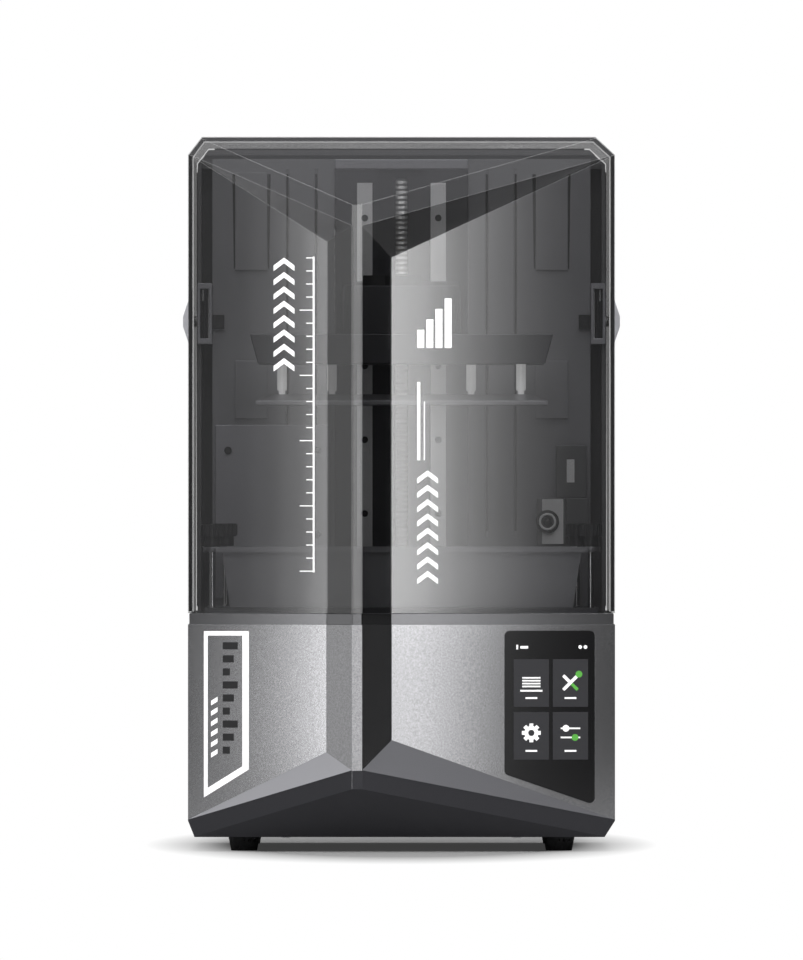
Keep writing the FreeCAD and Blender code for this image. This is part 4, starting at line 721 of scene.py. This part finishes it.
# The pale ring is a painted highlight in the lens.
for name, radius, tube, back, material in (
    ("lens_ring_outer", 8.0, 1.1, 6.5, black_print_and_shade),
    ("lens_ring_highlight", 5.9, 1.0, 0.4, pale_plastic_and_highlight),
):
    bpy.ops.object.select_all(action="DESELECT")
    bpy.ops.mesh.primitive_torus_add(
        major_radius=radius * MM,
        minor_radius=tube * MM,
        major_segments=48,
        minor_segments=12,
        location=(lens_x, lens_low[1] + back * MM, lens_z),
        rotation=(QUARTER_TURN, 0, 0),
    )
    bpy.ops.object.shade_smooth()
    ride_on(name, "base", material)
DOME_RADIUS = 3.6 * MM
DOME_BACK = 3 * MM
bpy.ops.object.select_all(action="DESELECT")
dome_place = (lens_x, lens_low[1] + DOME_BACK, lens_z)
bpy.ops.mesh.primitive_uv_sphere_add(radius=DOME_RADIUS, segments=32, ring_count=16, location=dome_place)
bpy.ops.object.shade_smooth()
ride_on("lens_dome", "base", finish["screen_glass"])

# %% Window of the lamp
lamp_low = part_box("chamber_lamp")[0]
WINDOW_X, WINDOW_Z = 132 * MM, 292 * MM
WINDOW_SIZE = (6 * MM, 0.6 * MM, 18 * MM)
block("lamp_window", (WINDOW_X, lamp_low[1], WINDOW_Z), WINDOW_SIZE, "base", pale_plastic_and_highlight)

# %% [markdown]
# ## Hinge boxes
# In each hinge box is a slot with a damper rod. The slot gets a black back of painted shade, a pale line
# of painted highlight along its inner side and a short bright rod end at its top. Both sides are alike, so
# one loop makes them.

# %% Hinge slots
ROD_INSET = 1.2 * MM
BACK_WIDTH = 7.8 * MM
LINE_WIDTH = 0.8 * MM
LINE_INSET = 3.6 * MM
SLOT_FILM = 0.3 * MM
ROD_RADIUS = 1.4 * MM
ROD_LENGTH = 9 * MM
ROD_DROP = 5 * MM
BACK_GAP = 0.2 * MM
SMOOTH_ANGLE = math.radians(40)
box_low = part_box("hinge_boxes")[0]
rod_low, rod_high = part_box("hinge_dampers")
slot_floor = rod_low[1] + rod_high[1] - box_low[1] - BACK_GAP
rod_x = rod_high[0] - ROD_INSET
rod_middle = (rod_low[1] + rod_high[1]) / 2
slot_z = (rod_low[2] + rod_high[2]) / 2
slot_high = rod_high[2] - rod_low[2]
for side, hand in ((-1, "left"), (1, "right")):
    # Painted shade at the back of the slot and a painted highlight along its inner side.
    back_place = (side * rod_x, slot_floor, slot_z)
    block("slot_shade_" + hand, back_place, (BACK_WIDTH, SLOT_FILM, slot_high), "base", black_print_and_shade)
    line_place = (side * (rod_x - LINE_INSET), slot_floor - SLOT_FILM, slot_z)
    block("slot_highlight_" + hand, line_place, (LINE_WIDTH, SLOT_FILM, slot_high), "base", pale_plastic_and_highlight)
    bpy.ops.object.select_all(action="DESELECT")
    rod_place = (side * rod_x, rod_middle, rod_high[2] - ROD_DROP)
    bpy.ops.mesh.primitive_cylinder_add(vertices=24, radius=ROD_RADIUS, depth=ROD_LENGTH, location=rod_place)
    bpy.ops.object.shade_smooth_by_angle(angle=SMOOTH_ANGLE)
    ride_on("slot_rod_" + hand, "base", pale_plastic_and_highlight)

# %% [markdown]
# ## Back panel
# The back panel has upright grooves, and its raised pads throw a narrow shade to both sides. Both are too
# narrow to show well behind the lid, so dark strips of painted shade lie a hair in front of the panel,
# over the grooves and beside the pads.

# %% Strips of painted shade
STRIP_Y = 99.85
STRIP_TOP = 524
GROOVE_FOOT = 245
GROOVE_HALF = 0.8
SHADE_FOOT = 450
SHADE_FOOT_HALF = 0.5
SHADE_TOP_HALF = 1.6
strips = [bar(x - GROOVE_HALF, GROOVE_FOOT, x + GROOVE_HALF, STRIP_TOP) for x in (-89.2, -66.7, 66.7, 89.2)]
for x in (-130.6, -103.9, 103.9, 130.6):
    foot = [(x - SHADE_FOOT_HALF, SHADE_FOOT), (x + SHADE_FOOT_HALF, SHADE_FOOT)]
    strips.append(foot + [(x + SHADE_TOP_HALF, STRIP_TOP), (x - SHADE_TOP_HALF, STRIP_TOP)])
points = [Vector((x, STRIP_Y, z)) * MM for strip in strips for x, z in strip]
faces = [tuple(range(4 * i, 4 * i + 4)) for i in range(len(strips))]
film("panel_painted_shade", points, faces, black_print_and_shade, "base")

# %% [markdown]
# ## Vat knobs
# The knobs are moulded with ribs for the fingers. A ring of thin cylinders, joined to one piece, half
# sinks into the head of each knob and turns with it.

# %% Knob ribs
RIBS = 18
RIB_RADIUS = 0.85 * MM
RIB_LENGTH = 8.6 * MM
RIB_RING = 7.9 * MM
RIB_DROP = 5 * MM
for where in ("front_left", "front_right", "back_left", "back_right"):
    knob_low, knob_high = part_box("vat_knob_" + where)
    knob_x = (knob_low[0] + knob_high[0]) / 2
    knob_y = (knob_low[1] + knob_high[1]) / 2
    ribs = []
    for step in range(RIBS):
        turn = 2 * math.pi * step / RIBS
        rib_x = knob_x + RIB_RING * math.cos(turn)
        rib_y = knob_y + RIB_RING * math.sin(turn)
        bpy.ops.object.select_all(action="DESELECT")
        bpy.ops.mesh.primitive_cylinder_add(
            vertices=10,
            radius=RIB_RADIUS,
            depth=RIB_LENGTH,
            location=(rib_x, rib_y, knob_high[2] - RIB_DROP),
        )
        ribs.append(bpy.context.object)
    for rib in ribs:
        rib.select_set(True)
    bpy.ops.object.join()
    bpy.ops.object.shade_smooth_by_angle(angle=SMOOTH_ANGLE)
    ride_on("knob_ribs_" + where, "knob_" + where, finish["knob_black"])

# %% [markdown]
# ## Edge of the lid
# A tinted wall looks black where it is seen along its length. The thin film used for the acrylic can't
# show that, so a dark core in the wall gives that edge, and a thin bright frame inside it, a painted
# highlight, stands for the gleam on the corner.

# %% Lid edge
LID_TOP = 548
EDGE_FOOT = 184
CORNER_Z = 534.2
CORNER_LEFT, CORNER_RIGHT = -153.0, 148.7
CORNER_SHARE = 0.45


def edge_frame(name, outer, width, front, back, material):
    """A frame that follows the lid's outline, a set distance inside it."""
    rings = []
    for inset in (outer, outer + width):
        cut = inset * CORNER_SHARE
        side = BODY_SIDE - inset
        rings.append(
            [
                (-side, EDGE_FOOT),
                (-side, CORNER_Z - cut),
                (CORNER_LEFT + cut, LID_TOP - inset),
                (CORNER_RIGHT - cut, LID_TOP - inset),
                (side, CORNER_Z - cut),
                (side, EDGE_FOOT),
            ]
        )
    points = [Vector((x, y, z)) * MM for y in (front, back) for ring in rings for x, z in ring]
    count = len(rings[0])
    faces = []
    for i in range(count - 1):
        a, b, c, d = i, i + 1, count + i + 1, count + i
        faces += [(a, b, c, d), (a + 2 * count, d + 2 * count, c + 2 * count, b + 2 * count)]
        faces += [(a, a + 2 * count, b + 2 * count, b), (d, c, c + 2 * count, d + 2 * count)]
    for i in (0, count - 1):
        faces.append((i, i + count, i + 3 * count, i + 2 * count))
    film(name, points, faces, material, "lid")


edge_frame("lid_edge_core", 0.3, 2.4, -122, -108, black_print_and_shade)
edge_frame("lid_edge_highlight", 3.3, 0.9, -121, -120, white_print_and_highlight)

# %% [markdown]
# ## Seals
# Light would shine through the slits between the lid and the housing at the back. Rubber seals close
# them, one under the lid's roof and one along each side of the housing.

# %% Seals of the lid and the housing
roof_place = (-1.5 * MM, 145 * MM, 544.2 * MM)
block("roof_seal", roof_place, (290 * MM, 8 * MM, 1.4 * MM), "lid", finish["rubber_black"])
SEAL_X = 159.85 * MM
SEAL_SIZE = (1.1 * MM, 18 * MM, 340 * MM)
for side, hand in ((-1, "left"), (1, "right")):
    seal_place = (side * SEAL_X, 140 * MM, 356 * MM)
    block("housing_seal_" + hand, seal_place, SEAL_SIZE, "base", finish["rubber_black"])

# %% [markdown]
# ## Studio
# The machine stands on a pale floor in a white room. To the camera the floor is white, with a grey patch
# round the feet: painted shadow that fades out away from the machine, with a little white left under it,
# in which the real contact shadow also falls. Every other ray meets a duller floor and a dim room, so that
# the machine mirrors the lamps and not the white.


# %% What the camera sees
def seen(tree, camera_shader, other_shader):
    """One shader for what the camera sees, another for every other ray."""
    path = add(tree, "ShaderNodeLightPath")
    links = {
        0: path.outputs["Is Camera Ray"],
        1: other_shader.outputs[0],
        2: camera_shader.outputs[0],
    }
    return add(tree, "ShaderNodeMixShader", links=links)


def grey(value):
    """A neutral colour from one linear value."""
    return (value, value, value, 1)


# %% Floor
SHADE_STRETCH = (1.0, 0.3, 0.0)
SHADE_SHIFT = (0.0, -0.036, 0.0)
# The painted shadow: a darker grey near the machine that fades to white, with a little white kept under it.
FADE = {"From Min": 0.13, "From Max": 0.2, "To Min": 0.045}
PAINTED_SHADOW_GREY = 0.22
DULL_GREY = 0.35
bpy.ops.object.select_all(action="DESELECT")
bpy.ops.mesh.primitive_plane_add(size=60)
floor = bpy.context.object
floor.name = "floor"
pale = bpy.data.materials.new("floor_pale")
pale.use_nodes = True
tree = pale.node_tree
tree.nodes.remove(tree.nodes["Principled BSDF"])
place = add(tree, "ShaderNodeTexCoord")
values = {1: SHADE_STRETCH, 2: SHADE_SHIFT}
links = {0: place.outputs["Object"]}
squash = add(tree, "ShaderNodeVectorMath", values, links, operation="MULTIPLY_ADD")
reach = add(tree, "ShaderNodeVectorMath", links={0: squash.outputs["Vector"]}, operation="LENGTH")
fade = add(tree, "ShaderNodeMapRange", FADE, {"Value": reach.outputs["Value"]})
near = add(tree, "ShaderNodeBsdfDiffuse", {"Color": grey(PAINTED_SHADOW_GREY)})
far = add(tree, "ShaderNodeEmission", {"Color": WHITE, "Strength": 1.0})
links = {0: fade.outputs["Result"], 1: near.outputs[0], 2: far.outputs[0]}
bright = add(tree, "ShaderNodeMixShader", links=links)
dull = add(tree, "ShaderNodeBsdfDiffuse", {"Color": grey(DULL_GREY)})
tree.links.new(seen(tree, bright, dull).outputs[0], tree.nodes["Material Output"].inputs["Surface"])
floor.data.materials.append(pale)
print("floor:", round(floor.dimensions.x), "m wide")

# %% World
ROOM_LIGHT = 0.1
world = bpy.data.worlds.new("studio")
scene.world = world
world.use_nodes = True
tree = world.node_tree
white = add(tree, "ShaderNodeBackground", {"Color": WHITE, "Strength": 1.0})
dim = add(tree, "ShaderNodeBackground", {"Color": WHITE, "Strength": ROOM_LIGHT})
tree.links.new(seen(tree, white, dim).outputs[0], tree.nodes["World Output"].inputs["Surface"])
print("light of the room:", ROOM_LIGHT)


# %% [markdown]
# ## Lamps
# What a lacquered panel shows is a mirror image of the lamps. One large lamp would give it an even tone,
# so rows of narrow strips stand in front, each with its own brightness, and the panels run from light to
# dark. Those at the sides are split by height: the base mirrors the low ones, the lid the high ones. Those
# for the crest aren't. Softer lamps in front, above, at the left and behind light the rest.


# %% Soft lamps and ramps of strips
def lamp(name, place, aim, width, height, watts):
    """A rectangular soft light."""
    light = bpy.data.lights.new(name, "AREA")
    light.shape = "RECTANGLE"
    light.size = width
    light.size_y = height
    light.energy = watts
    piece = bpy.data.objects.new(name, light)
    piece.location = place
    piece.rotation_euler = (Vector(aim) - Vector(place)).to_track_quat("-Z", "Y").to_euler()
    piece.visible_camera = False
    scene.collection.objects.link(piece)


RAMP_Y = -1.9


def ramp(name, start, step, bottom, top, levels):
    """Upright strips side by side in front, each with its own brightness."""
    height = top - bottom
    middle = (top + bottom) / 2
    for i, level in enumerate(levels):
        x = start + step * (i + 0.5)
        watts = level * math.pi * step * height
        lamp(f"{name}_{i}", (x, RAMP_Y, middle), (x, 0, middle), step, height, watts)


# %% Strips for the folded front
LOW_END, SPLIT, HIGH_END = -0.35, 0.17, 1.15
LEFT_START, LEFT_STEP = -0.5, 0.025
RIGHT_START, RIGHT_STEP = 0.08, 0.02
left_base = (0.43, 0.45, 0.55, 1.0, 2.2, 4.4, 5.4)
left_lid = (0.1, 0.11, 0.36, 0.9, 2.0, 4.2, 5.3)
right_base = (3.4, 3.35, 2.75, 1.9, 1.15, 0.66, 0.36, 0.18, 0.06)
right_lid = (4.6, 4.6, 3.9, 2.75, 1.85, 1.22, 0.75, 0.38, 0.15)
ramp("left_low", LEFT_START, LEFT_STEP, LOW_END, SPLIT, left_base)
ramp("left_high", LEFT_START, LEFT_STEP, SPLIT, HIGH_END, left_lid)
ramp("crest_ramp", -0.08, 0.03, LOW_END, HIGH_END, (1.5, 1.9, 1.9))
ramp("right_low", RIGHT_START, RIGHT_STEP, LOW_END, SPLIT, right_base)
ramp("right_high", RIGHT_START, RIGHT_STEP, SPLIT, HIGH_END, right_lid)
print("strips:", len(bpy.data.lights))

# %% Soft lamps
lamp("front_fill", (0, -1.6, 1.5), (0, 0, 0.35), 1.2, 0.7, 22)
lamp("top_panel", (0, -0.28, 2.0), (0, -0.2, 0.3), 1.6, 1.55, 52)
for side, hand in ((-1, "left"), (1, "right")):
    lamp("back_" + hand, (side * 1.6, 1.8, 1.2), (0, 0.1, 0.3), 1.2, 1.2, 26)
lamp("left_panel", (-1.9, -0.3, 0.6), (0, -0.1, 0.3), 1.2, 1.6, 4.6)
print("lamps:", len(bpy.data.lights))

# %% [markdown]
# A black card stands at the right. The narrow facet right of the crest faces it, and mirrors its black.

# %% Dark card at the right
CARD_SIZE = 3
CARD_PLACE = (1.3, -1.0, 0.6)
bpy.ops.object.select_all(action="DESELECT")
bpy.ops.mesh.primitive_plane_add(size=CARD_SIZE, location=CARD_PLACE, rotation=(0, QUARTER_TURN, 0))
flag = bpy.context.object
flag.name = "flag"
flag.visible_camera = False
flag.data.materials.append(surface("flag_black", "0A0A0A", 0.9))
print("dark card:", CARD_SIZE, "m wide")

# %% [markdown]
# ## Camera
# The view is nearly without perspective, so the camera stands far off with a long lens. A small shift
# sets the machine's height in the picture without tilting the camera, which keeps its upright edges
# upright.

# %% Camera
CAMERA_DISTANCE = 12.1646
CAMERA_HEIGHT = 0.281
LENS = 588.3
PICTURE_HEIGHT = 960
SHIFT_PIXELS = 5
camera = bpy.data.objects.new("camera", bpy.data.cameras.new("camera"))
scene.collection.objects.link(camera)
camera.location = (0, -CAMERA_DISTANCE, CAMERA_HEIGHT)
camera.rotation_euler = (QUARTER_TURN, 0, 0)
camera.data.sensor_width = 36
camera.data.lens = LENS
camera.data.shift_y = SHIFT_PIXELS / PICTURE_HEIGHT
camera.data.clip_end = 100
scene.camera = camera
scene.view_settings.view_transform = "Standard"
print("camera distance:", CAMERA_DISTANCE, "m")
